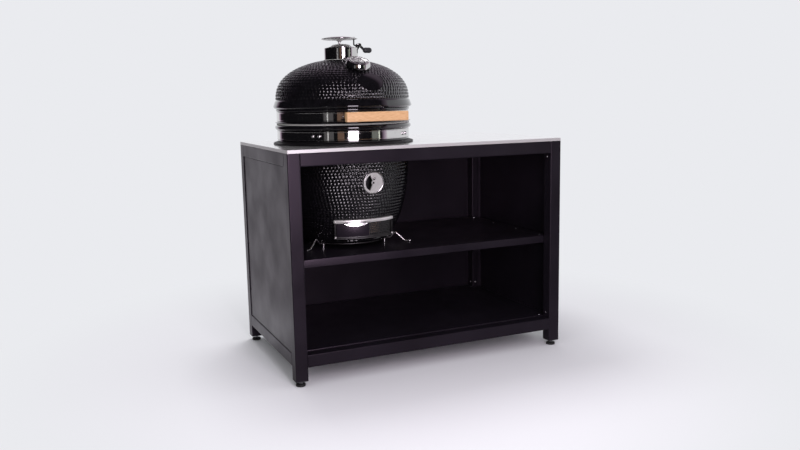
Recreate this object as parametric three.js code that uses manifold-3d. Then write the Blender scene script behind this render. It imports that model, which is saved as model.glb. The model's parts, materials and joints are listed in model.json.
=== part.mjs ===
// Kamado grill table: a ceramic kamado that stands on the middle shelf of a square-tube table,
// through a round hole in its stainless worktop. Millimetres, +Z up, +Y to the back.
// The origin is on the floor, under the middle of the table.
import * as THREE from "three";
import { mergeVertices } from "three/addons/utils/BufferGeometryUtils.js";
import Module from "manifold-3d";

// Clearances and facets
const seatGap = 0.3;
const slideGap = 0.4;
const cutOverrun = 2;
const weldReach = 0.0001;
const shellSteps = 36;
const roundSteps = 24;
const smallSteps = 12;
const arcSteps = 8;
const rodSides = 6;

// Table frame of square tube
const tableWidth = 1200;
const tableDepth = 730;
const tableHeight = 908;
const tubeSize = 50;
const tubeWall = 2;
const tubeCorner = 4;
const cornerSteps = 2;
const postLift = 25;
const railLift = 50;

// Folded panels and shelves
const panelSheet = 1.5;
const panelFlange = 18;
const panelRecess = 3;
const shelfSheet = 2;
const middleShelfLip = 31;
const bottomShelfRise = 4;
const bottomShelfLip = 25;

// Worktop
const worktopThickness = 12.7;
const worktopSheet = 1.5;
const holeClearance = 10;

// Levelling feet
const padRadius = 19;
const padHeight = 6;
const padCrown = 3;
const footNutRadius = 9;
const footStemRadius = 5;
const footTravel = 12;
const plugFlange = 2.5;
const plugDepth = 24;

// Kamado body, its outline and wall
const kamadoRoom = 41.5;
const kamadoSideRoom = 32.5;
const bodyRadius = tableDepth / 2 - tubeSize - kamadoRoom;
const kamadoInset = tubeSize + kamadoSideRoom + bodyRadius;
const bodyDepth = 402;
const bodyReachShare = 1.1915;
const bodyReach = bodyDepth * bodyReachShare;
const bodyPower = 2.5;
const bodyWall = 24;
const bodyCorner = 6;
const wallSteps = 8;

// Ridges and bands of the body, from the worktop up
const footRidgeHeight = 11;
const footRidgeReach = 19;
const footRidgeRound = 4;
const baseBandLift = 20;
const bandHeight = 36.5;
const bandThickness = 3.2;
const bandMargin = 1.4;
const rimRidgeHeight = 21.6;
const rimRidgeReach = 11;
const gasketThickness = 2.2;
const gasketInset = 3;

// Dome, from its rim up
const lipRidgeHeight = 8;
const lipRidgeReach = 9.5;
const shoulderHeight = 12;
const shoulderReach = 5.5;
const crownRidgeHeight = 29.5;
const crownRidgeReach = 15;
const domeGroove = 1.5;
const domeSwell = 5;
const domeRadius = bodyRadius + domeSwell;
const domeRise = 168.8;
const domePower = 2.5;
const neckMargin = 6;

// Handle on the dome band
const handleLength = 262;
const handleHeight = 37;
const handleThickness = 26;
const handleRound = 5;
const handleStand = 43;
const handleBearing = 3;
const bracketSpread = 95;
const bracketBar = 6;
const bracketHeight = 28;
const bracketFoot = 3;
const bracketPad = 36;
const bracketFootAngle = 5;

// Lid hinge at the back of the bands
const hingePinRadius = 5;
const hingePinHead = 9;
const hingePinHeadLength = 4;
const hingeStand = 38;
const hingeEyeRadius = 12;
const hingeStrip = 4;
const hingeStripInset = 3;
const hingeStripMargin = 8;
const hingeSpread = 58;
const hingeBar = 6;
const hingeMiddleBar = 8;
const springRadius = 11;
const springWire = 4;
const springCurls = 7;
const springSteps = 8;
const springSides = 5;

// Chimney, damper, rain cap and lever
const chimneyRadius = 70.5;
const chimneyHeight = 50;
const chimneyWall = 3;
const chimneyRound = 4;
const ventHoleRadius = 52;
const ventSlots = 5;
const ventSlotInner = 14;
const ventSlotOuter = 28;
const ventSlotSpread = 34;
const grilleThickness = 3;
const damperRadius = 58;
const damperRise = 15;
const damperSheet = 2.5;
const damperEdge = 3;
const damperCrownRadius = 31;
const damperTabWidth = 12;
const damperTabReach = 8;
const damperTabHeight = 11;
const capRadius = 76;
const capOffset = 6;
const capRise = 10;
const capSheet = 2;
const capLift = 19;
const capStemRadius = 5;
const capStemFlare = 9;
const leverRod = 3;
const leverPostInset = 12.5;
const leverHeadRadius = 5;
const leverHeadHeight = 3;
const leverPivotReach = 8;
const leverPivotRise = 11;
const leverBarrelRadius = 6;
const leverBarrelHalf = 10;
const leverEar = 3;
const leverEarRadius = 8;
const leverPinRadius = 2.7;
const leverKnee = 9;
const gripRadius = 11.5;
const gripLength = 40;
const gripReach = 30;
const gripDrop = 20;

// Thermometer on the dome's front slope
const dialPlaceShare = 0.668;
const dialPlace = domeRadius * dialPlaceShare;
const dialRadius = 50;
const dialCollarRadius = 15;
const dialStand = 3;
const dialSkirt = 5;
const dialShoulder = 5.5;
const dialShoulderDrop = 2.5;
const dialDepth = 21;
const dialTopRadius = 41.6;
const dialBezelWidth = 2.6;
const dialGlass = 2.5;
const probeRadius = 4;
const probeReach = 30;

// Air port on the body's front
const portDropShare = 0.3706;
const portDrop = bodyDepth * portDropShare;
const portBearing = 4;
const portRadius = 46;
const portRim = 5;
const portStand = 7;
const portSleeveRadius = 37;
const portSleeveWall = 3;
const portPlate = 3;
const portWindowInner = 8;
const portWindowFrom = 112;
const portWindowTo = 248;
const shutterThickness = 2;
const shutterPinRadius = 4;
const shutterKnobPlace = 19;
const shutterKnobRadius = 5;
const shutterKnobHeight = 14;

// Draft opening at the body's foot
const draftHeight = 78;
const draftRise = 26.5;
const draftTopDrop = bodyDepth - draftRise - draftHeight;
const draftStand = 5.3;
const draftTopRail = 14;
const draftBottomRail = 10;
const draftWindowAngle = 30;
const draftEndAngle = 2;
const draftFront = 3.2;
const draftWeb = 1.2;
const trackDepth = 2.5;
const doorThickness = 2;
const doorAngle = 32;
const screenThickness = 1;
const playAngle = 0.3;
const lipBearing = -11.2;
const lipHalfAngle = 11.3;
const lipDrop = 16;
const lipSheet = 2.5;
const lipStand = 2;
const screenColumns = 5;
const screenRows = 3;
const screenBar = 3;

// Fire parts inside the body
const fireWall = 20;
const fireBowlRoom = 78.5;
const fireBowlRadius = bodyRadius - fireBowlRoom;
const fireBowlFootShare = 0.55;
const fireBowlFoot = bodyRadius * fireBowlFootShare;
const fireBowlShoulderRise = 112;
const fireBowlTopShare = 0.35;
const fireBowlTopDrop = bodyDepth * fireBowlTopShare;
const fireGrateRise = 104;
const fireGrateDrop = bodyDepth - fireGrateRise;
const fireLedge = 45;
const fireRingRoom = 37.5;
const fireRingRadius = bodyRadius - fireRingRoom;
const fireRingFlare = 40;
const fireRingTop = 40;
const charcoalGrate = 10;
const charcoalSlots = 11;
const charcoalSlotWidth = 9;
const cookingRim = 8;
const cookingBars = 13;
const cookingBar = 6;

// Wire stand under the body
const standRod = 4;
const standHeight = 21;
const standSplay = 56;
const standInset = 15.7;
const standHumpReach = 36;
const standHumpHeight = 38;
const standFootReach = 73;
const standEndReach = 96;
const standTail = 15;
const standBend = 10;
const standSteps = 12;
const standRingSteps = 24;

// Places that follow from the sizes
const degree = Math.PI / 180;
const fullTurn = 360;
const quarterTurn = fullTurn / 4;
const halfTurn = fullTurn / 2;
const postLength = tableHeight - worktopThickness - seatGap - postLift;
const frameTop = postLift + postLength;
const bottomRailTop = postLift + railLift + tubeSize;
const kamadoX = kamadoInset - tableWidth / 2;
const middleShelfDrop = bodyDepth + standHeight;
const shelfLevel = -middleShelfDrop;
const holeRadius = bodyRadius + holeClearance;
const bandInner = bodyRadius + seatGap;
const bandOuter = bandInner + bandThickness;
const baseRecessTop = baseBandLift + bandHeight + bandMargin;
const baseRim = baseRecessTop + rimRidgeHeight;
const rimInner = bodyRadius - bodyWall;
const domeFoot = baseRim + 2 * gasketThickness + 3 * seatGap;
const domeRecess = domeFoot + lipRidgeHeight;
const domeBandLift = domeRecess + bandMargin;
const domeRecessTop = domeBandLift + bandHeight + bandMargin;
const domeShoulderTop = domeRecessTop + shoulderHeight;
const domeRidgeTop = domeShoulderTop + crownRidgeHeight;
const domeSpring = domeRidgeTop + domeGroove;
const neckRadius = chimneyRadius + neckMargin;
const neckLevel = domeLevel(neckRadius);
const chimneyFoot = neckLevel + seatGap;
const chimneyTop = chimneyFoot + chimneyHeight;
const domeBandMiddle = domeBandLift + bandHeight / 2;

const wasm = await Module();
wasm.setup();

const model = new THREE.Group();
const kamado = new THREE.Group();
kamado.position.set(kamadoX, 0, tableHeight);
model.add(kamado);

// Materials

function finish(color, roughness, metalness) {
  return new THREE.MeshStandardMaterial({ color, roughness, metalness });
}

function blackPaint() {
  return finish(0x1d181f, 0.38, 0.3);
}

function brushedSteel() {
  return finish(0xd9dadc, 0.34, 0.95);
}

function polishedSteel() {
  return finish(0xd6d4d2, 0.1, 1);
}

function glazedCeramic() {
  return finish(0x0b0a0c, 0.12, 0);
}

function fireclay() {
  return finish(0xb9a384, 0.9, 0);
}

function bamboo() {
  return finish(0xf0bd86, 0.5, 0);
}

function blackPlastic() {
  return finish(0x202226, 0.5, 0);
}

function rubber() {
  return finish(0x151515, 0.8, 0);
}

function felt() {
  return finish(0x6a666a, 0.95, 0);
}

function castIron() {
  return finish(0x26262a, 0.7, 0.6);
}

function plywood() {
  return finish(0x9b7b55, 0.8, 0);
}

function dialFace() {
  return finish(0xe9e7e2, 0.15, 0);
}

// Shape tools

function closed(geometry) {
  const bare = geometry.clone();
  bare.deleteAttribute("normal");
  bare.deleteAttribute("uv");
  const welded = mergeVertices(bare, weldReach);
  const old = welded.index.array;
  const kept = [];
  for (let i = 0; i < old.length; i += 3) {
    const [a, b, c] = [old[i], old[i + 1], old[i + 2]];
    if (a !== b && b !== c && c !== a) kept.push(a, b, c);
  }
  welded.setIndex(kept);
  if (volume(welded) < 0) {
    for (let i = 0; i < kept.length; i += 3) [kept[i], kept[i + 1]] = [kept[i + 1], kept[i]];
    welded.setIndex(kept);
  }
  return welded;
}

function volume(geometry) {
  const place = geometry.getAttribute("position");
  const index = geometry.index.array;
  const [a, b, c] = [new THREE.Vector3(), new THREE.Vector3(), new THREE.Vector3()];
  let sum = 0;
  for (let i = 0; i < index.length; i += 3) {
    a.fromBufferAttribute(place, index[i]);
    b.fromBufferAttribute(place, index[i + 1]);
    c.fromBufferAttribute(place, index[i + 2]);
    sum += a.dot(b.cross(c));
  }
  return sum / 6;
}

function solid(geometry) {
  const shell = closed(geometry);
  const vertProperties = new Float32Array(shell.getAttribute("position").array);
  const triVerts = new Uint32Array(shell.index.array);
  return new wasm.Manifold(new wasm.Mesh({ numProp: 3, vertProperties, triVerts }));
}

function surface(body) {
  const mesh = body.getMesh();
  const geometry = new THREE.BufferGeometry();
  geometry.setAttribute("position", new THREE.BufferAttribute(new Float32Array(mesh.vertProperties), mesh.numProp));
  geometry.setIndex(Array.from(mesh.triVerts));
  return geometry;
}

function joined(first, ...rest) {
  return rest.reduce((sum, next) => sum.add(solid(next)), solid(first));
}

function without(body, ...tools) {
  return tools.reduce((left, tool) => left.subtract(solid(tool)), body);
}

function piece(name, shape, material, home = kamado) {
  const geometry = shape instanceof THREE.BufferGeometry ? closed(shape) : surface(shape);
  geometry.computeVertexNormals();
  const mesh = new THREE.Mesh(geometry, material);
  mesh.name = name;
  home.add(mesh);
  return mesh;
}

function lathe(profile, steps) {
  const points = profile.map(([radius, level]) => new THREE.Vector2(radius, level));
  const start = points[0];
  if (start.x > 0) points.push(start.clone());
  return new THREE.LatheGeometry(points, steps).rotateX(Math.PI / 2);
}

function ring(inner, outer, low, high, steps) {
  return lathe([[inner, low], [outer, low], [outer, high], [inner, high]], steps);
}

function drum(radius, low, high, steps) {
  return lathe([[0, low], [radius, low], [radius, high], [0, high]], steps);
}

function block(x0, x1, y0, y1, z0, z1) {
  const box = new THREE.BoxGeometry(x1 - x0, y1 - y0, z1 - z0);
  return box.translate((x0 + x1) / 2, (y0 + y1) / 2, (z0 + z1) / 2);
}

// Each arc of the outline is drawn in the given number of steps.
function prism(shape, low, high, steps = arcSteps) {
  const settings = { depth: high - low, bevelEnabled: false, curveSegments: steps / 2 };
  return new THREE.ExtrudeGeometry(shape, settings).translate(0, 0, low);
}

function sector(inner, outer, from, to, low, high, steps = arcSteps) {
  const shape = new THREE.Shape();
  shape.absarc(0, 0, outer, from * degree, to * degree, false);
  shape.absarc(0, 0, inner, to * degree, from * degree, true);
  return prism(shape, low, high, steps);
}

// A sector at the front of the kamado, its angles measured from straight ahead towards +X.
function frontSector(inner, outer, from, to, low, high, steps = arcSteps) {
  return sector(inner, outer, from - quarterTurn, to - quarterTurn, low, high, steps);
}

function roundedRectangle(width, height, radius) {
  const [x, y] = [width / 2 - radius, height / 2 - radius];
  const shape = new THREE.Shape();
  shape.absarc(x, y, radius, 0, Math.PI / 2, false);
  shape.absarc(-x, y, radius, Math.PI / 2, Math.PI, false);
  shape.absarc(-x, -y, radius, Math.PI, Math.PI * 1.5, false);
  shape.absarc(x, -y, radius, Math.PI * 1.5, Math.PI * 2, false);
  return shape;
}

function polygon(points) {
  return new THREE.Shape(points.map(([x, y]) => new THREE.Vector2(x, y)));
}

// A round rod along straight runs, bent at each point between them over the given length.
function rod(points, radius, bend, steps) {
  const path = new THREE.CurvePath();
  const spots = points.map((p) => new THREE.Vector3(...p));
  let start = spots[0];
  for (let i = 1; i + 1 < spots.length; i += 1) {
    const corner = spots[i];
    const before = corner.clone().addScaledVector(corner.clone().sub(start).normalize(), -bend);
    const after = corner.clone().addScaledVector(spots[i + 1].clone().sub(corner).normalize(), bend);
    path.add(new THREE.LineCurve3(start, before));
    path.add(new THREE.QuadraticBezierCurve3(before, corner, after));
    start = after;
  }
  path.add(new THREE.LineCurve3(start, spots[spots.length - 1]));
  const section = new THREE.Shape();
  section.absarc(0, 0, radius, 0, Math.PI * 2, false);
  return new THREE.ExtrudeGeometry(section, { steps, curveSegments: rodSides / 2, extrudePath: path });
}

// Turns a prism so that its outline's X and Y become the kamado's Y and Z.
function sideways(geometry) {
  const turn = new THREE.Matrix4();
  turn.makeBasis(new THREE.Vector3(0, 1, 0), new THREE.Vector3(0, 0, 1), new THREE.Vector3(1, 0, 0));
  return geometry.applyMatrix4(turn);
}

// Outlines of the ceramic

function bodyAt(level, grow = 0) {
  const share = -level / (bodyReach + grow);
  return (bodyRadius + grow) * (1 - share ** bodyPower) ** (1 / bodyPower);
}

function domeLevel(radius, inset = 0) {
  const share = radius / (domeRadius - inset);
  return domeSpring - inset + domeRise * (1 - share * share) ** (1 / domePower);
}

function domeTilt(radius) {
  const step = seatGap;
  return Math.atan2(domeLevel(radius - step) - domeLevel(radius + step), 2 * step);
}

// Points round a bulge that swells from a wall and returns to it.
function bulge(wall, reach, low, high, steps = 4) {
  const middle = (low + high) / 2;
  const points = [];
  for (let i = 0; i <= steps; i += 1) {
    const angle = Math.PI * (i / steps - 0.5);
    points.push([wall + reach * Math.cos(angle), middle + ((high - low) / 2) * Math.sin(angle)]);
  }
  return points;
}

function bodyWallPoints(from, to, steps, grow = 0) {
  const points = [];
  for (let i = 0; i <= steps; i += 1) {
    const level = from + ((to - from) * i) / steps;
    points.push([bodyAt(level, grow), level]);
  }
  return points;
}

function bodyFootToTop() {
  const foot = bodyAt(-bodyDepth + bodyCorner);
  const wall = bodyWallPoints(-bodyDepth + bodyCorner, 0, wallSteps);
  return [[foot - bodyCorner, -bodyDepth], ...wall];
}

// The body's outer form below the worktop, swollen a little, as a tool for what seats on it.
function swollenBody() {
  const low = -bodyDepth - seatGap;
  const wall = bodyFootToTop().map(([radius, level]) => [radius + 2 * seatGap, level]);
  return lathe([[0, low], [wall[0][0], low], ...wall, [0, 0]], shellSteps);
}

// Table

function squareTube(length) {
  const outline = roundedRectangle(tubeSize, tubeSize, tubeCorner);
  const bore = tubeSize - 2 * tubeWall;
  outline.holes.push(roundedRectangle(bore, bore, tubeCorner - tubeWall));
  return prism(outline, 0, length, cornerSteps);
}

function buildFrame() {
  const x = (tableWidth - tubeSize) / 2;
  const y = (tableDepth - tubeSize) / 2;
  const levels = { bottom: postLift + railLift + tubeSize / 2, top: frameTop - tubeSize / 2 };
  for (const [front, ySide] of [["front", -1], ["rear", 1]]) {
    for (const [left, xSide] of [["left", -1], ["right", 1]]) {
      const post = piece(`post_${front}_${left}`, squareTube(postLength), blackPaint(), model);
      post.position.set(x * xSide, y * ySide, postLift);
    }
  }
  const railX = tableWidth - 2 * tubeSize - 2 * seatGap;
  const railY = tableDepth - 2 * tubeSize - 2 * seatGap;
  for (const [level, z] of Object.entries(levels)) {
    for (const [side, sign] of [["front", -1], ["rear", 1]]) {
      const rail = piece(`${level}_rail_${side}`, squareTube(railX), blackPaint(), model);
      rail.rotation.y = Math.PI / 2;
      rail.position.set(-railX / 2, y * sign, z);
    }
    for (const [side, sign] of [["left", -1], ["right", 1]]) {
      const rail = piece(`${level}_rail_${side}`, squareTube(railY), blackPaint(), model);
      rail.rotation.x = -Math.PI / 2;
      rail.position.set(x * sign, -railY / 2, z);
    }
  }
}

// A folded tray: a flat sheet with its face at zero and its flanges turned down from all its edges.
function tray(width, height, flange, sheet) {
  const outer = block(-width / 2, width / 2, -height / 2, height / 2, -flange, 0);
  const [x, y] = [width / 2 - sheet, height / 2 - sheet];
  return without(solid(outer), block(-x, x, -y, y, -flange - cutOverrun, -sheet));
}

function buildPanels() {
  const panelHeight = frameTop - tubeSize - bottomRailTop - 2 * seatGap;
  const middle = (bottomRailTop + frameTop - tubeSize) / 2;
  const depth = tableDepth - 2 * tubeSize - 2 * seatGap;
  const width = tableWidth - 2 * tubeSize - 2 * seatGap;
  for (const [side, sign] of [["left", -1], ["right", 1]]) {
    const panel = piece(`side_panel_${side}`, tray(panelHeight, depth, panelFlange, panelSheet), blackPaint(), model);
    panel.rotation.y = (sign * Math.PI) / 2;
    panel.position.set(sign * (tableWidth / 2 - panelRecess), 0, middle);
  }
  const back = piece("back_panel", tray(width, panelHeight, panelFlange, panelSheet), blackPaint(), model);
  back.rotation.x = -Math.PI / 2;
  back.position.set(0, tableDepth / 2 - panelRecess, middle);
}

// The middle shelf's outline, drawn in by an inset; it is notched round the rear posts.
function middleShelfOutline(inset) {
  const reach = panelRecess + panelFlange + seatGap + inset;
  const x = tableWidth / 2 - reach;
  const front = -tableDepth / 2 + tubeSize + seatGap + inset;
  const back = tableDepth / 2 - reach;
  const notchX = tableWidth / 2 - tubeSize - seatGap - inset;
  const notchY = tableDepth / 2 - tubeSize - seatGap - inset;
  return polygon([
    [-x, front], [x, front], [x, notchY], [notchX, notchY],
    [notchX, back], [-notchX, back], [-notchX, notchY], [-x, notchY],
  ]);
}

function buildShelves() {
  const middle = without(
    solid(prism(middleShelfOutline(0), -middleShelfLip, 0)),
    prism(middleShelfOutline(shelfSheet), -middleShelfLip - cutOverrun, -shelfSheet),
  );
  piece("middle_shelf", middle, blackPaint(), model).position.z = tableHeight - middleShelfDrop;
  const width = tableWidth - 2 * tubeSize - 2 * seatGap;
  const depth = tableDepth - 2 * tubeSize - 2 * seatGap;
  const bottom = tray(width, depth, bottomShelfLip, shelfSheet);
  piece("bottom_shelf", bottom, blackPaint(), model).position.z = bottomRailTop + bottomShelfRise;
}

function buildWorktop() {
  const [x, y] = [tableWidth / 2, tableDepth / 2];
  const [innerX, innerY] = [x - worktopSheet, y - worktopSheet];
  const low = -worktopThickness;
  const holeSteps = shellSteps;
  const hollow = without(
    solid(block(-innerX, innerX, -innerY, innerY, low - cutOverrun, -worktopSheet)),
    drum(holeRadius + worktopSheet, low - 2 * cutOverrun, cutOverrun, holeSteps).translate(kamadoX, 0, 0),
  );
  const sheet = solid(prism(roundedRectangle(2 * x, 2 * y, tubeCorner), low, 0, cornerSteps));
  const hole = drum(holeRadius, low - cutOverrun, cutOverrun, holeSteps).translate(kamadoX, 0, 0);
  const skin = without(sheet.subtract(hollow), hole);
  piece("worktop_skin", skin, brushedSteel(), model).position.z = tableHeight;
  const [boardX, boardY] = [innerX - seatGap, innerY - seatGap];
  const board = without(
    solid(block(-boardX, boardX, -boardY, boardY, low, -worktopSheet - seatGap)),
    drum(holeRadius + worktopSheet + seatGap, low - cutOverrun, 0, holeSteps).translate(kamadoX, 0, 0),
  );
  piece("worktop_board", board, plywood(), model).position.z = tableHeight;
}

function buildFeet() {
  const x = (tableWidth - tubeSize) / 2;
  const y = (tableDepth - tubeSize) / 2;
  const body = tubeSize - 2 * tubeWall - 2 * seatGap;
  const flangeTop = postLift - seatGap;
  const nutTop = flangeTop - plugFlange - seatGap;
  const stemTop = postLift + plugDepth;
  const foot = lathe([
    [0, 0], [padRadius, 0], [padRadius, padHeight], [footNutRadius, padHeight + padCrown],
    [footNutRadius, nutTop], [footStemRadius, nutTop],
    [footStemRadius, stemTop], [0, stemTop],
  ], smallSteps);
  const plug = without(
    joined(
      prism(roundedRectangle(tubeSize, tubeSize, tubeCorner), flangeTop - plugFlange, flangeTop, cornerSteps),
      prism(roundedRectangle(body, body, tubeCorner - tubeWall), flangeTop - plugFlange / 2, stemTop, cornerSteps),
    ),
    drum(footStemRadius + seatGap, 0, stemTop + cutOverrun, smallSteps),
  );
  for (const [front, ySide] of [["front", -1], ["rear", 1]]) {
    for (const [left, xSide] of [["left", -1], ["right", 1]]) {
      const place = [x * xSide, y * ySide, 0];
      piece(`levelling_foot_${front}_${left}`, foot, rubber(), model).position.set(...place);
      piece(`post_plug_${front}_${left}`, plug, blackPlastic(), model).position.set(...place);
    }
  }
}

// Kamado shells

function buildBase() {
  const floor = -bodyDepth + bodyWall;
  const innerWall = [];
  for (let i = 0; i <= wallSteps; i += 2) {
    const level = (floor * i) / wallSteps;
    innerWall.push([bodyAt(level, -bodyWall), level]);
  }
  const ridge = bodyRadius + footRidgeReach;
  const outline = [
    [0, -bodyDepth], ...bodyFootToTop(),
    [bodyRadius, seatGap], [ridge - footRidgeRound, seatGap], [ridge, seatGap + footRidgeRound],
    [ridge - footRidgeRound, footRidgeHeight - footRidgeRound / 2], [bodyRadius, footRidgeHeight],
    [bodyRadius, baseRecessTop], ...bulge(bodyRadius, rimRidgeReach, baseRecessTop, baseRim).slice(1),
    [rimInner, baseRim], ...innerWall, [0, floor],
  ];
  const [low, high] = draftWindow();
  const opening = frontSector(
    fireBowlFoot, bodyRadius, screenEdge() + draftEndAngle, draftWindowAngle - draftEndAngle,
    low + trackDepth, high - trackDepth,
  );
  const bore = placedAtPort(drum(portSleeveRadius + 2 * seatGap, -bodyWall - portRadius, portRadius, roundSteps));
  piece("base_shell", without(solid(lathe(outline, shellSteps)), opening, bore), glazedCeramic());
}

function buildBands() {
  const round = bandThickness / 2;
  for (const [name, low] of [["base_band", baseBandLift], ["dome_band", domeBandLift]]) {
    const high = low + bandHeight;
    const outline = [
      [bandInner, low], [bandOuter - round / 2, low], [bandOuter, low + round],
      [bandOuter, high - round], [bandOuter - round / 2, high], [bandInner, high],
    ];
    piece(name, lathe(outline, shellSteps), polishedSteel());
  }
  const [inner, outer] = [rimInner + gasketInset, bodyRadius + gasketInset];
  const low = baseRim + seatGap;
  const middle = low + gasketThickness + seatGap;
  piece("base_gasket", ring(inner, outer, low, low + gasketThickness, shellSteps), felt());
  piece("dome_gasket", ring(inner, outer, middle, middle + gasketThickness, shellSteps), felt());
}

function buildDome() {
  const innerNeck = ventHoleRadius;
  const outer = [];
  const inner = [];
  for (let i = 0; i <= wallSteps; i += 1) {
    const angle = (Math.PI / 2) * (i / wallSteps);
    outer.push(neckRadius + (domeRadius - neckRadius) * Math.cos(angle));
    if (i % 2 === 0) inner.push(innerNeck + (domeRadius - bodyWall - innerNeck) * Math.cos(angle));
  }
  inner.reverse();
  const outline = [
    [rimInner, domeFoot], [bodyRadius, domeFoot],
    ...bulge(bodyRadius, lipRidgeReach, domeFoot, domeRecess).slice(1),
    ...bulge(bodyRadius, shoulderReach, domeRecessTop, domeShoulderTop),
    ...bulge(bodyRadius, crownRidgeReach, domeShoulderTop, domeRidgeTop).slice(1),
    ...outer.map((radius) => [radius, domeLevel(radius)]), [innerNeck, neckLevel],
    ...inner.map((radius) => [radius, domeLevel(radius, bodyWall)]),
  ];
  const probeBore = placedAtDial(drum(probeRadius + seatGap, -2 * bodyWall, bodyWall, smallSteps));
  piece("dome_shell", without(solid(lathe(outline, shellSteps)), probeBore), glazedCeramic());
}

// Handle

function buildHandle() {
  const back = -bandOuter - handleStand;
  const bar = prism(roundedRectangle(handleThickness, handleHeight, handleRound), -handleLength / 2, handleLength / 2, 3);
  const handle = sideways(bar).translate(0, back - handleThickness / 2, domeBandMiddle);
  piece("handle_bar", handle.rotateZ(handleBearing * degree), bamboo());
  const inner = bandOuter + seatGap;
  const low = domeBandMiddle - bracketHeight / 2;
  const high = domeBandMiddle + bracketHeight / 2;
  const middle = inner + bracketFoot / 2;
  for (const [side, sign] of [["left", -1], ["right", 1]]) {
    const x = sign * bracketSpread;
    const bearing = (sign * Math.asin(bracketSpread / middle)) / degree;
    const wallY = -Math.sqrt(middle ** 2 - (bracketSpread - bracketBar / 2) ** 2);
    const front = back + seatGap;
    const bracket = joined(
      frontSector(inner, inner + bracketFoot, bearing - bracketFootAngle, bearing + bracketFootAngle, low, high, 4),
      block(x - bracketBar / 2, x + bracketBar / 2, front, wallY, low, high),
      block(x - bracketPad / 2, x + bracketPad / 2, front, front + bracketFoot, low, high),
    );
    piece(`handle_bracket_${side}`, bracket.rotate([0, 0, handleBearing]), polishedSteel());
  }
}

// Lid hinge

const hingeY = bandOuter + hingeStand;
const hingeZ = baseRim - seatGap - hingePinRadius;

// A bar's outline from a strip on the shell to an eye round the hinge pin.
function hingeBarShape(wall, low, high) {
  const tangent = (level, side) => {
    const direction = Math.atan2(level - hingeZ, wall - hingeY);
    const distance = Math.hypot(level - hingeZ, wall - hingeY);
    return direction + side * Math.acos(hingeEyeRadius / distance);
  };
  const shape = new THREE.Shape();
  shape.moveTo(wall, low);
  shape.lineTo(wall, high);
  shape.absarc(hingeY, hingeZ, hingeEyeRadius, tangent(high, -1), tangent(low, 1), true);
  shape.closePath();
  return shape;
}

function hingeBarAt(from, to, low, high) {
  const middle = bandOuter + seatGap + hingeStrip / 2;
  const reach = Math.max(Math.abs(from), Math.abs(to)) - hingeBar / 2;
  return sideways(prism(hingeBarShape(Math.sqrt(middle ** 2 - reach ** 2), low, high), from, to, 6));
}

function hingeBracket(name, bandLow, bars) {
  const low = bandLow + hingeStripInset;
  const high = bandLow + bandHeight - hingeStripInset;
  const inner = bandOuter + seatGap;
  const angle = Math.asin((Math.max(...bars.flat()) + hingeStripMargin) / inner) / degree;
  const [from, to] = [quarterTurn - angle, quarterTurn + angle];
  const strip = sector(inner, inner + hingeStrip, from, to, low, high, arcSteps + 2);
  const bore = sideways(drum(hingePinRadius + seatGap, -bodyRadius, bodyRadius, smallSteps));
  const arms = bars.map(([start, end]) => hingeBarAt(start, end, low, high));
  bore.translate(0, hingeY, hingeZ);
  piece(name, without(joined(strip, ...arms), bore), blackPaint());
}

// A spring of round wire wound along X, with straight ends one wire wide.
function springPath(from, to) {
  const path = [];
  const turns = springCurls * springSteps;
  const length = to - from - 2 * springWire;
  path.push([from, 0]);
  for (let i = 0; i <= turns; i += 1) {
    path.push([from + springWire + (length * i) / turns, (i * 2 * Math.PI) / springSteps]);
  }
  path.push([to, path[path.length - 1][1]]);
  return path.map(([x, angle]) => {
    const radial = new THREE.Vector3(0, Math.cos(angle), Math.sin(angle));
    return { radial, centre: new THREE.Vector3(x, 0, 0).addScaledVector(radial, springRadius) };
  });
}

function springTube(path) {
  const places = [];
  const faces = [];
  path.forEach(({ radial, centre }, i) => {
    const before = path[Math.max(i - 1, 0)].centre;
    const after = path[Math.min(i + 1, path.length - 1)].centre;
    const along = after.clone().sub(before).normalize();
    const side = along.clone().cross(radial).normalize();
    const up = side.clone().cross(along);
    for (let j = 0; j < springSides; j += 1) {
      const angle = (j * 2 * Math.PI) / springSides;
      const spot = centre.clone().addScaledVector(up, (Math.cos(angle) * springWire) / 2);
      places.push(...spot.addScaledVector(side, (Math.sin(angle) * springWire) / 2).toArray());
    }
  });
  for (let i = 0; i + 1 < path.length; i += 1) {
    for (let j = 0; j < springSides; j += 1) {
      const [a, b] = [i * springSides + j, i * springSides + ((j + 1) % springSides)];
      faces.push(a, b, a + springSides, b, b + springSides, a + springSides);
    }
  }
  const last = (path.length - 1) * springSides;
  for (let j = 1; j + 1 < springSides; j += 1) {
    faces.push(0, j + 1, j, last, last + j, last + j + 1);
  }
  const geometry = new THREE.BufferGeometry();
  geometry.setAttribute("position", new THREE.Float32BufferAttribute(places, 3));
  geometry.setIndex(faces);
  return geometry;
}

function springGap(path) {
  let least = Infinity;
  for (let i = 0; i < path.length; i += 1) {
    for (let j = i + springSteps / 2; j < path.length; j += 1) {
      least = Math.min(least, path[i].centre.distanceTo(path[j].centre) - springWire);
    }
  }
  return least;
}

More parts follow.
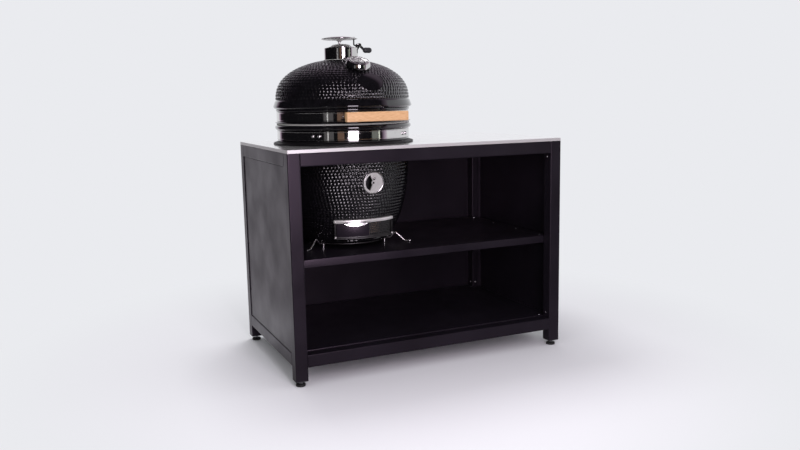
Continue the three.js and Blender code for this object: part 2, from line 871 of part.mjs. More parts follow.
function buildHinge() {
  const outer = hingeSpread + hingeBar + 2 * seatGap;
  const upper = [[-hingeSpread - hingeBar, -hingeSpread], [hingeSpread, hingeSpread + hingeBar]];
  const lower = [
    [-outer - hingeBar, -outer], [-hingeMiddleBar / 2, hingeMiddleBar / 2], [outer, outer + hingeBar],
  ];
  hingeBracket("hinge_lower_bracket", baseBandLift, lower);
  hingeBracket("hinge_upper_bracket", domeBandLift, upper);
  const end = outer + hingeBar + seatGap;
  const pin = lathe([
    [0, -end - hingePinHeadLength], [hingePinHead, -end - hingePinHeadLength], [hingePinHead, -end],
    [hingePinRadius, -end], [hingePinRadius, end], [hingePinHead, end],
    [hingePinHead, end + hingePinHeadLength], [0, end + hingePinHeadLength],
  ], smallSteps);
  piece("hinge_pin", sideways(pin), brushedSteel()).position.set(0, hingeY, hingeZ);
  const path = springPath(hingeMiddleBar / 2 + seatGap, hingeSpread - seatGap);
  const mirrored = springPath(-hingeSpread + seatGap, -hingeMiddleBar / 2 - seatGap);
  piece("hinge_spring_right", springTube(path), brushedSteel()).position.set(0, hingeY, hingeZ);
  piece("hinge_spring_left", springTube(mirrored), brushedSteel()).position.set(0, hingeY, hingeZ);
  console.log(`least gap between the hinge spring's curls: ${springGap(path).toFixed(2)} mm`);
}

// Top vent

const leverX = chimneyRadius + leverPivotReach;
const leverZ = chimneyTop + leverPivotRise;
const damperFoot = chimneyTop + seatGap;
const damperTop = damperFoot + damperRise;
const capFoot = damperTop + capLift;
const leverPostX = capRadius - capOffset - leverPostInset;

function ventSlotTools(low, high) {
  const tools = [];
  for (let i = 0; i < ventSlots; i += 1) {
    const from = (i * fullTurn) / ventSlots;
    tools.push(sector(ventSlotInner, ventSlotOuter, from, from + ventSlotSpread, low, high, 4));
  }
  return tools;
}

// A plate in the lever's plane that rises from the chimney's wall to the pivot.
function leverEarShape() {
  const root = chimneyRadius - chimneyWall / 2;
  const shape = new THREE.Shape();
  shape.moveTo(root, leverZ - 2 * leverPivotRise);
  shape.lineTo(root, leverZ);
  shape.absarc(leverX, leverZ, leverEarRadius, Math.PI, -Math.PI / 2, true);
  shape.closePath();
  return shape;
}

// Turns a prism so that its outline's X and Y become the kamado's X and Z.
function upright(geometry) {
  return geometry.rotateX(Math.PI / 2);
}

function buildChimney() {
  const inner = chimneyRadius - chimneyWall;
  const plate = chimneyTop - chimneyWall;
  const barrel = lathe([
    [inner, chimneyFoot], [chimneyRadius, chimneyFoot], [chimneyRadius, chimneyTop - chimneyRound],
    [chimneyRadius - chimneyRound / 3, chimneyTop - chimneyRound / 3],
    [chimneyRadius - chimneyRound, chimneyTop], [ventHoleRadius, chimneyTop], [ventHoleRadius, plate], [inner, plate],
  ], roundSteps);
  const earFrom = leverBarrelHalf + seatGap;
  const ears = [-1, 1].map((sign) => {
    const [low, high] = sign > 0 ? [earFrom, earFrom + leverEar] : [-earFrom - leverEar, -earFrom];
    return upright(prism(leverEarShape(), low, high, 6));
  });
  const reach = earFrom + leverEar + cutOverrun;
  const pinBore = upright(drum(leverPinRadius + seatGap, -reach, reach, smallSteps));
  pinBore.translate(leverX, 0, leverZ);
  piece("chimney_barrel", without(joined(barrel, ...ears), pinBore), polishedSteel());
  const grilleTop = plate - seatGap;
  const grille = solid(drum(inner - seatGap, grilleTop - grilleThickness, grilleTop, roundSteps));
  const slots = ventSlotTools(grilleTop - grilleThickness - cutOverrun, grilleTop + cutOverrun);
  piece("vent_grille", without(grille, ...slots), castIron());
}

function buildDamper() {
  const shellTop = damperTop - damperSheet;
  const cover = lathe([
    [0, shellTop], [damperCrownRadius - damperSheet, shellTop],
    [ventHoleRadius - damperSheet, damperFoot], [damperRadius, damperFoot], [damperRadius, damperFoot + damperEdge],
    [damperRadius - damperEdge, damperFoot + damperEdge + seatGap], [damperCrownRadius + damperEdge, damperTop - damperEdge / 2],
    [damperCrownRadius, damperTop], [0, damperTop],
  ], roundSteps);
  const tab = block(
    -damperTabWidth / 2, damperTabWidth / 2, damperRadius - damperEdge, damperRadius + damperTabReach,
    damperFoot, damperFoot + damperEdge,
  );
  const thumb = block(
    -damperTabWidth / 2, damperTabWidth / 2, damperRadius + damperTabReach - damperSheet,
    damperRadius + damperTabReach, damperFoot, damperFoot + damperTabHeight,
  );
  const slots = ventSlotTools(shellTop - cutOverrun, damperTop + cutOverrun);
  piece("vent_damper", without(joined(cover, tab, thumb), ...slots), polishedSteel());
}

function capLevel(radius) {
  return capFoot + capSheet + capRise * Math.sqrt(Math.max(0, 1 - (radius / capRadius) ** 2)) - capSheet;
}

function buildRainCap() {
  const shares = [1, 0.94, 0.78, 0.5];
  const outer = shares.map((share) => [capRadius * share, capLevel(capRadius * share) + capSheet]);
  const inner = shares.slice(1).map((share) => [capRadius * share - capSheet, capLevel(capRadius * share)]);
  inner.reverse();
  const top = capLevel(0);
  const stemFoot = damperTop + seatGap;
  const cap = lathe([
    [0, stemFoot], [capStemRadius, stemFoot], [capStemRadius, capFoot], [capStemFlare, top - capSheet / 2],
    ...inner, [capRadius - capSheet, capFoot], [capRadius, capFoot], ...outer, [0, top + capSheet],
  ], roundSteps);
  const bore = drum(leverRod + seatGap, capFoot - cutOverrun, top + 2 * capSheet, smallSteps);
  bore.translate(leverPostX + capOffset, 0, 0);
  piece("rain_cap", without(solid(cap), bore), polishedSteel()).position.x = -capOffset;
}

function buildLever() {
  const head = capLevel(leverPostX + capOffset - leverHeadRadius) + capSheet + seatGap;
  const gripStart = leverX + gripReach - gripRadius;
  const gripZ = leverZ - gripDrop;
  const elbow = gripStart - 2 * leverRod;
  const arm = rod([
    [leverPostX, 0, leverZ], [leverX, 0, leverZ], [elbow, 0, gripZ],
  ], leverRod, leverRod, smallSteps / 2);
  const spigot = drum(leverRod, elbow, gripStart + leverKnee, rodSides).rotateY(Math.PI / 2).translate(0, 0, gripZ);
  const bend = new THREE.SphereGeometry(leverRod, rodSides, rodSides / 2).translate(elbow, 0, gripZ);
  const post = drum(leverRod, leverZ, head + leverHeadHeight / 2, rodSides).translate(leverPostX, 0, 0);
  const knob = drum(leverHeadRadius, head, head + leverHeadHeight, smallSteps).translate(leverPostX, 0, 0);
  const corner = new THREE.SphereGeometry(leverRod, rodSides, rodSides / 2).translate(leverPostX, 0, leverZ);
  const barrel = upright(drum(leverBarrelRadius, -leverBarrelHalf, leverBarrelHalf, smallSteps));
  const reach = leverBarrelHalf + seatGap + leverEar;
  const pin = upright(drum(leverPinRadius, -reach, reach, smallSteps));
  barrel.translate(leverX, 0, leverZ);
  pin.translate(leverX, 0, leverZ);
  piece("vent_lever", joined(arm, post, knob, corner, barrel, pin, spigot, bend), castIron());
  const grip = new THREE.CapsuleGeometry(gripRadius, gripLength - 2 * gripRadius, 3, smallSteps).rotateZ(Math.PI / 2);
  grip.translate(gripStart + gripLength / 2, 0, gripZ);
  const socket = drum(leverRod + seatGap, elbow, gripStart + leverKnee + seatGap, rodSides);
  socket.rotateY(Math.PI / 2).translate(0, 0, gripZ);
  piece("lever_grip", without(solid(grip), socket), blackPlastic());
}

// Thermometer

function dialMatrix() {
  const tilt = domeTilt(dialPlace);
  const matrix = new THREE.Matrix4().makeRotationX(tilt);
  return matrix.setPosition(0, -dialPlace, domeLevel(dialPlace));
}

function placedAtDial(geometry) {
  return geometry.applyMatrix4(dialMatrix());
}

function buildThermometer() {
  const caseTop = dialStand + dialDepth;
  const face = caseTop - dialGlass - 2 * seatGap;
  const well = dialTopRadius - dialBezelWidth;
  const body = lathe([
    [0, -bodyWall - probeReach], [probeRadius, -bodyWall - probeReach], [probeRadius, seatGap],
    [dialCollarRadius, seatGap], [dialCollarRadius, dialStand], [dialRadius, dialStand],
    [dialRadius, dialStand + dialSkirt], [dialRadius - dialShoulder, caseTop - dialShoulderDrop],
    [dialTopRadius, caseTop], [well, caseTop], [well, face], [0, face],
  ], roundSteps);
  piece("thermometer_case", placedAtDial(body), polishedSteel());
  const glass = drum(well - seatGap, face + seatGap, face + seatGap + dialGlass, roundSteps);
  piece("thermometer_glass", placedAtDial(glass), dialFace());
}

// Air port

const portRadiusFromAxis = bodyAt(-portDrop);
const portTilt = Math.atan2(bodyAt(-portDrop + portRadius) - bodyAt(-portDrop - portRadius), 2 * portRadius);

function portMatrix() {
  const matrix = new THREE.Matrix4().makeRotationZ(portBearing * degree);
  matrix.multiply(new THREE.Matrix4().makeTranslation(0, -portRadiusFromAxis, -portDrop));
  return matrix.multiply(new THREE.Matrix4().makeRotationX(Math.PI / 2 + portTilt));
}

// In the port's own frame Z points out of the body and Y points up.
function placedAtPort(geometry) {
  return geometry.applyMatrix4(portMatrix());
}

function buildPort() {
  const well = portRadius - portRim;
  const floor = portStand - shutterThickness - 2 * seatGap;
  const bezel = joined(
    lathe([
      [0, -portRim], [portRadius, -portRim], [portRadius, portStand - portRim / 4],
      [portRadius - portRim / 2, portStand + portRim / 4], [well, portStand], [well, floor], [0, floor],
    ], roundSteps),
    drum(portSleeveRadius, -bodyWall, 0, roundSteps),
    drum(shutterPinRadius, 0, portStand + shutterThickness, smallSteps),
  );
  const bore = portSleeveRadius - portSleeveWall;
  const inside = drum(bore, -bodyWall - cutOverrun, floor - portPlate, roundSteps);
  const windowFrom = sector(portWindowInner, bore, portWindowFrom, portWindowTo, -portRim, portStand, 10);
  const cut = without(bezel, inside, windowFrom);
  const placed = cut.transform(portMatrix().elements);
  const seated = placed.subtract(sleeveFreeBody());
  piece("port_bezel", seated, polishedSteel());
  const shutterRadius = well - 2 * seatGap;
  const plate = joined(
    ring(shutterPinRadius + seatGap, shutterRadius, floor + seatGap, floor + seatGap + shutterThickness, roundSteps),
    drum(shutterKnobRadius, floor + shutterThickness, floor + shutterKnobHeight, smallSteps).translate(0, shutterKnobPlace, 0),
  );
  const opening = sector(portWindowInner, bore, portWindowFrom, portWindowTo, -portRim, portStand + portRim, 10);
  const shutter = without(plate, opening).transform(portMatrix().elements);
  piece("port_shutter", shutter, polishedSteel());
}

// The body's outer form with the sleeve's bore left out, so that only the flange is trimmed to it.
function sleeveFreeBody() {
  const bore = placedAtPort(drum(portSleeveRadius + seatGap, -2 * bodyWall, portRadius, roundSteps));
  return without(solid(swollenBody()), bore);
}

// Draft opening

const draftRadius = bodyAt(-draftTopDrop) + draftStand;
const doorOuter = draftRadius - draftFront - slideGap;
const doorInner = doorOuter - doorThickness;
const screenOuter = doorInner - 2 * slideGap - draftWeb;
const screenInner = screenOuter - screenThickness;

function draftWindow() {
  const low = -draftTopDrop - draftHeight + draftBottomRail;
  return [low, -draftTopDrop - draftTopRail];
}

function screenEdge() {
  return draftWindowAngle - playAngle - doorAngle;
}

function buildDraft() {
  const [low, high] = draftWindow();
  const end = draftWindowAngle + draftEndAngle;
  const inside = bodyAt(-draftTopDrop - draftHeight) - bodyWall;
  const bottom = -draftTopDrop - draftHeight;
  const [trackLow, trackHigh] = [low - trackDepth, high + trackDepth];
  const wide = draftWindowAngle;
  const frame = without(
    solid(frontSector(inside, draftRadius, -end, end, bottom, -draftTopDrop)),
    swollenBody(),
    frontSector(inside - cutOverrun, draftRadius + cutOverrun, -wide, wide, low, high),
    frontSector(doorInner - slideGap, doorOuter + slideGap, -wide, wide, trackLow, trackHigh, 2 * arcSteps),
    frontSector(screenInner - slideGap, screenOuter + slideGap, -wide, wide, trackLow, trackHigh, 2 * arcSteps),
  );
  piece("draft_frame", frame, polishedSteel());
  const [edge, far] = [-draftWindowAngle + playAngle, -draftWindowAngle + playAngle + doorAngle];
  const [plateLow, plateHigh] = [trackLow + seatGap, trackHigh - slideGap];
  const lipTop = high - slideGap;
  const lipInner = draftRadius + lipStand;
  const lipFrom = lipBearing - lipHalfAngle;
  const lipTo = lipBearing + lipHalfAngle;
  const width = lipInner * Math.sin(lipHalfAngle * degree);
  const crescent = new THREE.Shape();
  crescent.absellipse(0, lipTop, width, lipDrop, Math.PI, Math.PI * 2, false);
  const lens = upright(prism(crescent, 0, 2 * draftRadius, roundSteps)).rotateZ(lipBearing * degree);
  const lipSweep = frontSector(lipInner, lipInner + lipSheet, lipFrom, lipTo, lipTop - 2 * lipDrop, lipTop);
  const lip = solid(lipSweep).intersect(solid(lens));
  const [webFrom, webTo] = [lipBearing - lipHalfAngle / 2, lipBearing + lipHalfAngle / 2];
  const web = frontSector(doorInner + slideGap, lipInner + slideGap, webFrom, webTo, lipTop - lipSheet, lipTop);
  const plate = frontSector(doorInner, doorOuter, edge, far, plateLow, plateHigh);
  piece("draft_door", joined(plate, web).add(lip), blackPaint());
  const from = screenEdge();
  const holes = [];
  const columnAngle = doorAngle / screenColumns;
  const barAngle = screenBar / screenInner / degree;
  const rowHeight = (high - low) / screenRows;
  for (let i = 0; i < screenColumns; i += 1) {
    for (let j = 0; j < screenRows; j += 1) {
      const start = from + i * columnAngle + barAngle / 2;
      const foot = low + j * rowHeight + screenBar / 2;
      holes.push(frontSector(
        screenInner - cutOverrun, screenOuter + cutOverrun, start, start + columnAngle - barAngle,
        foot, foot + rowHeight - screenBar, 1,
      ));
    }
  }
  const sheet = solid(frontSector(screenInner, screenOuter, from, from + doorAngle, plateLow, plateHigh));
  piece("spark_screen", without(sheet, ...holes), brushedSteel());
}

// Fire parts

function buildFire() {
  const floor = -bodyDepth + bodyWall + seatGap;
  const bowlInner = fireBowlRadius - fireWall;
  const bowl = lathe([
    [bowlInner - fireLedge, floor], [fireBowlFoot, floor], [fireBowlRadius, fireBowlShoulderRise - bodyDepth],
    [fireBowlRadius, -fireBowlTopDrop], [bowlInner, -fireBowlTopDrop], [bowlInner, -fireGrateDrop],
    [bowlInner - fireLedge, -fireGrateDrop],
  ], roundSteps);
  const [low, high] = draftWindow();
  const ashHole = frontSector(
    0, bodyRadius, screenEdge() + draftEndAngle, draftWindowAngle - draftEndAngle,
    low + trackDepth, high - trackDepth, 4,
  );
  piece("fire_bowl", without(solid(bowl), ashHole), fireclay());
  const ringFoot = -fireBowlTopDrop + seatGap;
  const ringInner = fireRingRadius - fireWall;
  const fireRing = lathe([
    [bowlInner, ringFoot], [fireBowlRadius, ringFoot], [fireRingRadius, ringFoot + fireRingFlare],
    [fireRingRadius, fireRingTop], [ringInner, fireRingTop], [ringInner, ringFoot + fireRingFlare],
  ], roundSteps);
  piece("fire_ring", fireRing, fireclay());
  const grateFoot = -fireGrateDrop + seatGap;
  const grateRadius = bowlInner - 2 * seatGap - charcoalSlotWidth;
  const slotReach = grateRadius - 2 * charcoalSlotWidth;
  const slots = [];
  for (let i = 0; i < charcoalSlots; i += 1) {
    const x = ((i - (charcoalSlots - 1) / 2) * 2 * slotReach) / charcoalSlots;
    const half = Math.sqrt(slotReach ** 2 - x ** 2);
    slots.push(block(
      x - charcoalSlotWidth / 2, x + charcoalSlotWidth / 2, -half, half,
      grateFoot - cutOverrun, grateFoot + charcoalGrate + cutOverrun,
    ));
  }
  const grate = solid(drum(grateRadius, grateFoot, grateFoot + charcoalGrate, roundSteps));
  piece("charcoal_grate", without(grate, ...slots), castIron());
  const gridFoot = fireRingTop + seatGap;
  const gridRadius = (ringInner + fireRingRadius) / 2;
  const bars = [];
  const barFoot = gridFoot + (cookingRim - cookingBar) / 2;
  for (let i = 0; i < cookingBars; i += 1) {
    const x = (i - (cookingBars - 1) / 2) * ((2 * gridRadius) / (cookingBars + 1));
    const half = Math.sqrt((gridRadius - cookingRim / 2) ** 2 - x ** 2);
    bars.push(block(x - cookingBar / 2, x + cookingBar / 2, -half, half, barFoot, barFoot + cookingBar));
  }
  const rim = ring(gridRadius - cookingRim, gridRadius, gridFoot, gridFoot + cookingRim, shellSteps);
  piece("cooking_grate", joined(rim, ...bars), brushedSteel());
}

// Wire stand

function buildStand() {
  const top = -bodyDepth - seatGap - standRod;
  const footLevel = shelfLevel + seatGap + standRod;
  const base = bodyAt(-bodyDepth);
  const standRadius = base - standInset;
  const [hump, foot] = [base + standHumpReach, base + standFootReach];
  const hoop = new THREE.TorusGeometry(standRadius, standRod, rodSides, standRingSteps).translate(0, 0, top);
  const humpLevel = shelfLevel + standHumpHeight;
  const parts = [];
  for (const bearing of [-standSplay, standSplay, halfTurn - standSplay, halfTurn + standSplay]) {
    const angle = (bearing - quarterTurn) * degree;
    const at = (radius, level) => [radius * Math.cos(angle), radius * Math.sin(angle), level];
    const corner = base + 2 * standRod;
    parts.push(rod([
      at(standRadius - standTail, top), at(corner, top), at(hump, humpLevel - standRod),
      at(foot, footLevel), at(base + standEndReach, footLevel),
    ], standRod, standBend, standSteps));
    parts.push(drum(standRod, shelfLevel + seatGap, top, rodSides).translate(...at(standRadius, 0)));
  }
  piece("kamado_stand", joined(hoop, ...parts), polishedSteel());
}

buildFrame();
buildPanels();
buildShelves();
buildWorktop();
buildFeet();
buildBase();
buildBands();
buildDome();
buildHandle();
buildHinge();
buildChimney();
buildDamper();
buildRainCap();
buildLever();
buildThermometer();
buildPort();
buildDraft();
buildFire();
buildStand();

export default model;
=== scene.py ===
"""The looks of the kamado grill table. Lengths are in millimetres; meshes, lamps and the camera are in metres."""
import json
from math import acos, asin, atan2, cos, degrees, dist, hypot, pi, radians, sin, sqrt, tan

import bmesh
import bpy
import numpy as np
from mathutils import Matrix, Vector


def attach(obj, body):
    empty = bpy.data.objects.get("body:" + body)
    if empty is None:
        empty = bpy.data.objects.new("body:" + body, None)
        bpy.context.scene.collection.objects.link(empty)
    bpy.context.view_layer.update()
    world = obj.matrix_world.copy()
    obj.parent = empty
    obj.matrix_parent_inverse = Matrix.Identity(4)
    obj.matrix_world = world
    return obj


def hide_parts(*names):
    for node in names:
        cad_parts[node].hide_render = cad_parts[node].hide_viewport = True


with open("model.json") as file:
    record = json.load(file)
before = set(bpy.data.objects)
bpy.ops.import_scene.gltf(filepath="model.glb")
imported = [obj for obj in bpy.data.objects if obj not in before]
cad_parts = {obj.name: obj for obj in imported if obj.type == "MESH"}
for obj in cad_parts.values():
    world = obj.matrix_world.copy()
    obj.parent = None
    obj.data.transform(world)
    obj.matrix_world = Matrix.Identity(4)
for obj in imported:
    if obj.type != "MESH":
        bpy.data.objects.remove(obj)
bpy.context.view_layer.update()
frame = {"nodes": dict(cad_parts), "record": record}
MM = 0.001

# ---------------- sizes, as in the solids

GAP = 0.3
TABLE_W, TABLE_D, TABLE_H = 1200.0, 730.0, 908.0
TUBE, POST_LIFT, FRAME_TOP, RAIL_TOP = 50.0, 25.0, 895.0, 125.0
SHELF_Z, BOTTOM_Z = 485.0, 129.0
KAMADO_X = -244.0
FLOOR, KAMADO = (0.0, 0.0, 0.0), (KAMADO_X, 0.0, TABLE_H)
# Levels on the kamado count from the worktop.
BODY_R, BODY_DEPTH, WALL = 273.5, 402.0, 24.0
BODY_REACH = BODY_DEPTH * 1.1915
POWER = 2.5
BAND_IN, BAND_OUT, BAND_H = 273.8, 277.0, 36.5
BASE_BAND, BASE_RECESS_TOP, BASE_RIM = 20.0, 57.9, 79.5
RIM_IN = BODY_R - WALL
DOME_FOOT = 84.8
DOME_RECESS, DOME_BAND, DOME_RECESS_TOP = 92.8, 94.2, 132.1
SHOULDER_TOP, RIDGE_TOP, SPRING, RIDGE_FOLD = 144.1, 173.6, 175.1, 178.0
DOME_R, DOME_RISE = 278.5, 168.8
NECK_R, NECK_BORE = 76.5, 52.0
BARREL_R, BARREL_H = 70.5, 50.0


def body_at(z, grow=0.0):
    """The body's outer radius at a level below the worktop."""
    return (BODY_R + grow) * (1 - (-z / (BODY_REACH + grow)) ** POWER) ** (1 / POWER)


def dome_z(r, inset=0.0):
    """The dome's level at a radius."""
    return SPRING - inset + DOME_RISE * max(0.0, 1 - (r / (DOME_R - inset)) ** 2) ** (1 / POWER)


NECK_Z = dome_z(NECK_R)
CHIMNEY_FOOT = NECK_Z + GAP
CHIMNEY_TOP = CHIMNEY_FOOT + BARREL_H


# ---------------- outlines and paths

def unit(v):
    return v / np.linalg.norm(v)


def corner(start, p, end, steps):
    """A curve from start to end that bends towards p."""
    shares = [k / steps for k in range(steps + 1)]
    return [(1 - t) ** 2 * start + 2 * t * (1 - t) * p + t ** 2 * end for t in shares]


def fillet(points, radius, steps=4, closed=True):
    """Rounds each corner of a 2-D outline. radius is one number, or one for each point."""
    spots = [np.array(p, float) for p in points]
    n = len(spots)
    radii = radius if isinstance(radius, list) else [radius] * n
    straight = radians(86)
    out = []
    for i, p in enumerate(spots):
        a, b = spots[i - 1], spots[(i + 1) % n]
        if radii[i] > 0 and (closed or 0 < i < n - 1):
            u, w = unit(a - p), unit(b - p)
            half = acos(max(-1, min(1, float(u @ w)))) / 2
            if half <= straight:
                reach = min(radii[i] / tan(half), 0.49 * np.linalg.norm(a - p), 0.49 * np.linalg.norm(b - p))
                out += [tuple(q) for q in corner(p + u * reach, p, p + w * reach, steps)]
                continue
        out.append(tuple(p))
    return out


def to_axis(points, radii, steps):
    """An outline for a lathe that starts and ends on the axis, with the corners between rounded."""
    return [points[0]] + fillet(points[1:-1], radii, steps, False) + [points[-1]]


def mirrored(half):
    """A lathe's outline that is the same below level 0 as above it, from its upper half."""
    return [(r, -z) for r, z in half] + half[::-1]


def bulge(wall, reach, low, high, steps=14):
    """Half an oval that stands out from a wall."""
    middle, half = (low + high) / 2, (high - low) / 2
    angles = [pi * (i / steps - 0.5) for i in range(steps + 1)]
    return [(wall + reach * cos(a), middle + half * sin(a)) for a in angles]


def rect(half_x, half_y, round_r=0.0, steps=5):
    corners = [(-half_x, -half_y), (half_x, -half_y), (half_x, half_y), (-half_x, half_y)]
    return fillet(corners, round_r, steps) if round_r else corners


def oblong(r0, r1, z0, z1):
    return [(r0, z0), (r1, z0), (r1, z1), (r0, z1)]


def arc(radius, angles, x=0.0, y=0.0):
    return [(x + radius * cos(a), y + radius * sin(a)) for a in angles]


def circle(radius, steps=48, x=0.0, y=0.0):
    return arc(radius, np.linspace(0, 2 * pi, steps, endpoint=False), x, y)


def domed(radius, foot, top, angles):
    """Points of a quarter oval from the rim of a round head, at its foot, towards its top."""
    return [(radius * cos(a), foot + (top - foot) * sin(a)) for a in np.radians(angles)]


def sector(inner, outer, a0, a1, steps=12):
    """The outline of a ring's part between two angles in degrees."""
    angles = np.radians(np.linspace(a0, a1, steps + 1))
    return arc(outer, angles) + arc(inner, angles[::-1])


def level(outline, z):
    return [(x, y, z) for x, y in outline]


def bent_path(points, bend, steps=6):
    spots = [np.array(p, float) for p in points]
    out = [spots[0]]
    for a, p, b in zip(spots, spots[1:], spots[2:]):
        out += corner(p + unit(a - p) * bend, p, p + unit(b - p) * bend, steps)
    return out + [spots[-1]]


def ring_path(radius, z, steps):
    """A circle whose last point is its first."""
    return level(arc(radius, np.linspace(0, 2 * pi, steps + 1)), z)


# ---------------- shapes: vertices and faces

def join(*shapes):
    verts, faces, start = [], [], 0
    for v, f in shapes:
        verts.append(np.asarray(v, float))
        faces += [[i + start for i in face] for face in f]
        start += len(v)
    return np.vstack(verts), faces


def turned(angle, axis):
    return Matrix.Rotation(radians(angle), 4, axis)


def moved(shape, matrix=None, offset=(0, 0, 0)):
    v = np.asarray(shape[0], float)
    if matrix is not None:
        m = np.array(matrix.to_4x4())
        v = v @ m[:3, :3].T + m[:3, 3]
    return v + np.asarray(offset, float), shape[1]


def on_wall(bearing, reach, z, tilt=0.0):
    """The place of a shape that faces outwards, at a bearing in degrees from straight ahead towards +X."""
    return turned(bearing, "Z") @ Matrix.Translation((0, -reach, z)) @ Matrix.Rotation(pi / 2 + tilt, 4, "X")


def upright(shape):
    """Turns an outline in X and Y, drawn out along Z, into one in X and Z, drawn out along -Y."""
    return moved(shape, turned(90, "X"))


def lathe(profile, steps=144):
    """A closed solid of revolution about Z. The profile closes on itself, or starts and ends on the axis."""
    on_axis = profile[0][0] < 1e-6
    turns = np.arange(steps) * 2 * pi / steps
    verts, rings, faces = [], [], []
    for r, z in profile:
        around = turns[:1] if r < 1e-6 else turns
        rings.append(range(len(verts), len(verts) + len(around)))
        verts += [(r * cos(t), r * sin(t), z) for t in around]
    for low, high in list(zip(rings, rings[1:])) + ([] if on_axis else [(rings[-1], rings[0])]):
        for i in range(steps):
            j = (i + 1) % steps
            spots = [(low, i), (low, j), (high, j), (high, i)]
            face = tuple(dict.fromkeys(ring[k % len(ring)] for ring, k in spots))
            if len(face) > 2:
                faces.append(face)
    return np.array(verts, float), faces


def loft(loops, closed=False):
    """A solid through loops with the same number of points. Its ends are capped, unless it closes on itself."""
    n, count = len(loops[0]), len(loops)
    pairs = [(i, (i + 1) % count) for i in range(count if closed else count - 1)]
    faces = [(i * n + j, i * n + (j + 1) % n, k * n + (j + 1) % n, k * n + j) for i, k in pairs for j in range(n)]
    if not closed:
        faces += [tuple(range(n))[::-1], tuple(range((count - 1) * n, count * n))]
    return np.array([p for loop in loops for p in loop], float), faces


def swept(outline, a0, a1, steps=32):
    """An outline in radius and height, swept about Z; angles are in degrees from straight ahead towards +X."""
    angles = np.radians(np.linspace(a0, a1, steps + 1) - 90)
    return loft([[(r * cos(a), r * sin(a), z) for r, z in outline] for a in angles])


def arc_sheet(r0, r1, a0, a1, z0, z1, steps=32, bevel=0.5):
    return swept(fillet(oblong(r0, r1, z0, z1), bevel, 2), a0, a1, steps)


def tube(path, radius, sides=14, round_ends=0.0):
    """A closed round rod along a path; its ends may be rounded over a length."""
    p = [np.array(q, float) for q in path]
    line = [(q, radius) for q in p]
    if round_ends:
        def cap(end, inner):
            d = unit(end - inner)
            return [(end - d * round_ends * (1 - s), radius * sqrt(1 - s * s)) for s in (0.0, 0.35, 0.7, 0.92)]
        line = cap(p[0], p[1])[::-1] + line[1:-1] + cap(p[-1], p[-2])
        p = [q for q, _ in line]
    tangents = [unit(b - a) for a, b in zip([p[0]] + p, p[1:] + [p[-1]])]
    up = np.array((0, 0, 1.0)) if abs(tangents[0][2]) < 0.9 else np.array((1.0, 0, 0))
    side = np.cross(tangents[0], up)
    turns = np.arange(sides) * 2 * pi / sides
    rings = []
    for (q, r), t in zip(line, tangents):
        side = unit(side - t * (side @ t))
        other = np.cross(t, side)
        rings.append([q + r * (cos(a) * side + sin(a) * other) for a in turns])
    return loft(rings)


def taken(bm):
    bm.verts.index_update()
    verts = np.array([v.co[:] for v in bm.verts])
    faces = [[v.index for v in f.verts] for f in bm.faces]
    bm.free()
    return verts, faces


def prism(outline, low, high, bevel=0.0, steps=2, holes=()):
    """An outline in X and Y, drawn out along Z, with its end rims rounded over."""
    bm = bmesh.new()
    edges = []
    for loop in [outline, *holes]:
        vs = [bm.verts.new((x, y, low)) for x, y in loop]
        edges += [bm.edges.new((vs[i], vs[(i + 1) % len(vs)])) for i in range(len(vs))]
    if holes:
        bmesh.ops.triangle_fill(bm, edges=edges, use_beauty=True)
    else:
        bm.faces.new(list(bm.verts))
    made = bmesh.ops.extrude_face_region(bm, geom=list(bm.faces))["geom"]
    upper = [v for v in made if isinstance(v, bmesh.types.BMVert)]
    bmesh.ops.translate(bm, verts=upper, vec=(0, 0, high - low))
    bmesh.ops.recalc_face_normals(bm, faces=bm.faces)
    if bevel:
        rims = [e for e in bm.edges if e.calc_face_angle(0) > 0.6 and abs(e.verts[0].co.z - e.verts[1].co.z) < 1e-6]
        bmesh.ops.bevel(bm, geom=rims, offset=bevel, segments=steps, profile=0.5, affect="EDGES", clamp_overlap=True)
    return taken(bm)


def block(x0, x1, y0, y1, z0, z1, bevel=0.6, steps=2):
    bm = bmesh.new()
    size = Matrix.Diagonal((x1 - x0, y1 - y0, z1 - z0, 1))
    middle = Matrix.Translation(((x0 + x1) / 2, (y0 + y1) / 2, (z0 + z1) / 2))
    bmesh.ops.create_cube(bm, size=1, matrix=middle @ size)
    if bevel:
        bmesh.ops.bevel(bm, geom=list(bm.edges), offset=bevel, segments=steps, profile=0.5, affect="EDGES")
    return taken(bm)


# ---------------- materials

def wire(nt, socket, part):
    """Links an input to another node's output, or sets it to a number or colour."""
    if isinstance(part, bpy.types.NodeSocket):
        nt.links.new(part, socket)
    else:
        socket.default_value = part


def node(nt, kind, inputs=None, **settings):
    """A new node with its own settings and its inputs, by name or number."""
    made = nt.nodes.new("ShaderNode" + kind)
    for key, setting in settings.items():
        setattr(made, key, setting)
    for key, part in (inputs or {}).items():
        wire(nt, made.inputs[key], part)
    return made


def noise(nt, scale, detail, stretch=(1, 1, 1)):
    place = node(nt, "TexCoord").outputs["Object"]
    turn = node(nt, "Mapping", {"Vector": place, "Scale": stretch})
    return node(nt, "TexNoise", {"Vector": turn.outputs["Vector"], "Scale": scale, "Detail": detail}).outputs["Fac"]


def ramp(nt, factor, stops):
    made = node(nt, "ValToRGB", {"Fac": factor})
    while len(made.color_ramp.elements) < len(stops):
        made.color_ramp.elements.new(0.5)
    for e, (at, color) in zip(made.color_ramp.elements, stops):
        e.position, e.color = at, (*color, 1)
    return made.outputs["Color"]


def mapped(nt, factor, low, high, to_low=0.0, to_high=1.0, ease="LINEAR"):
    spans = {"Value": factor, "From Min": low, "From Max": high, "To Min": to_low, "To Max": to_high}
    return node(nt, "MapRange", spans, interpolation_type=ease).outputs["Result"]


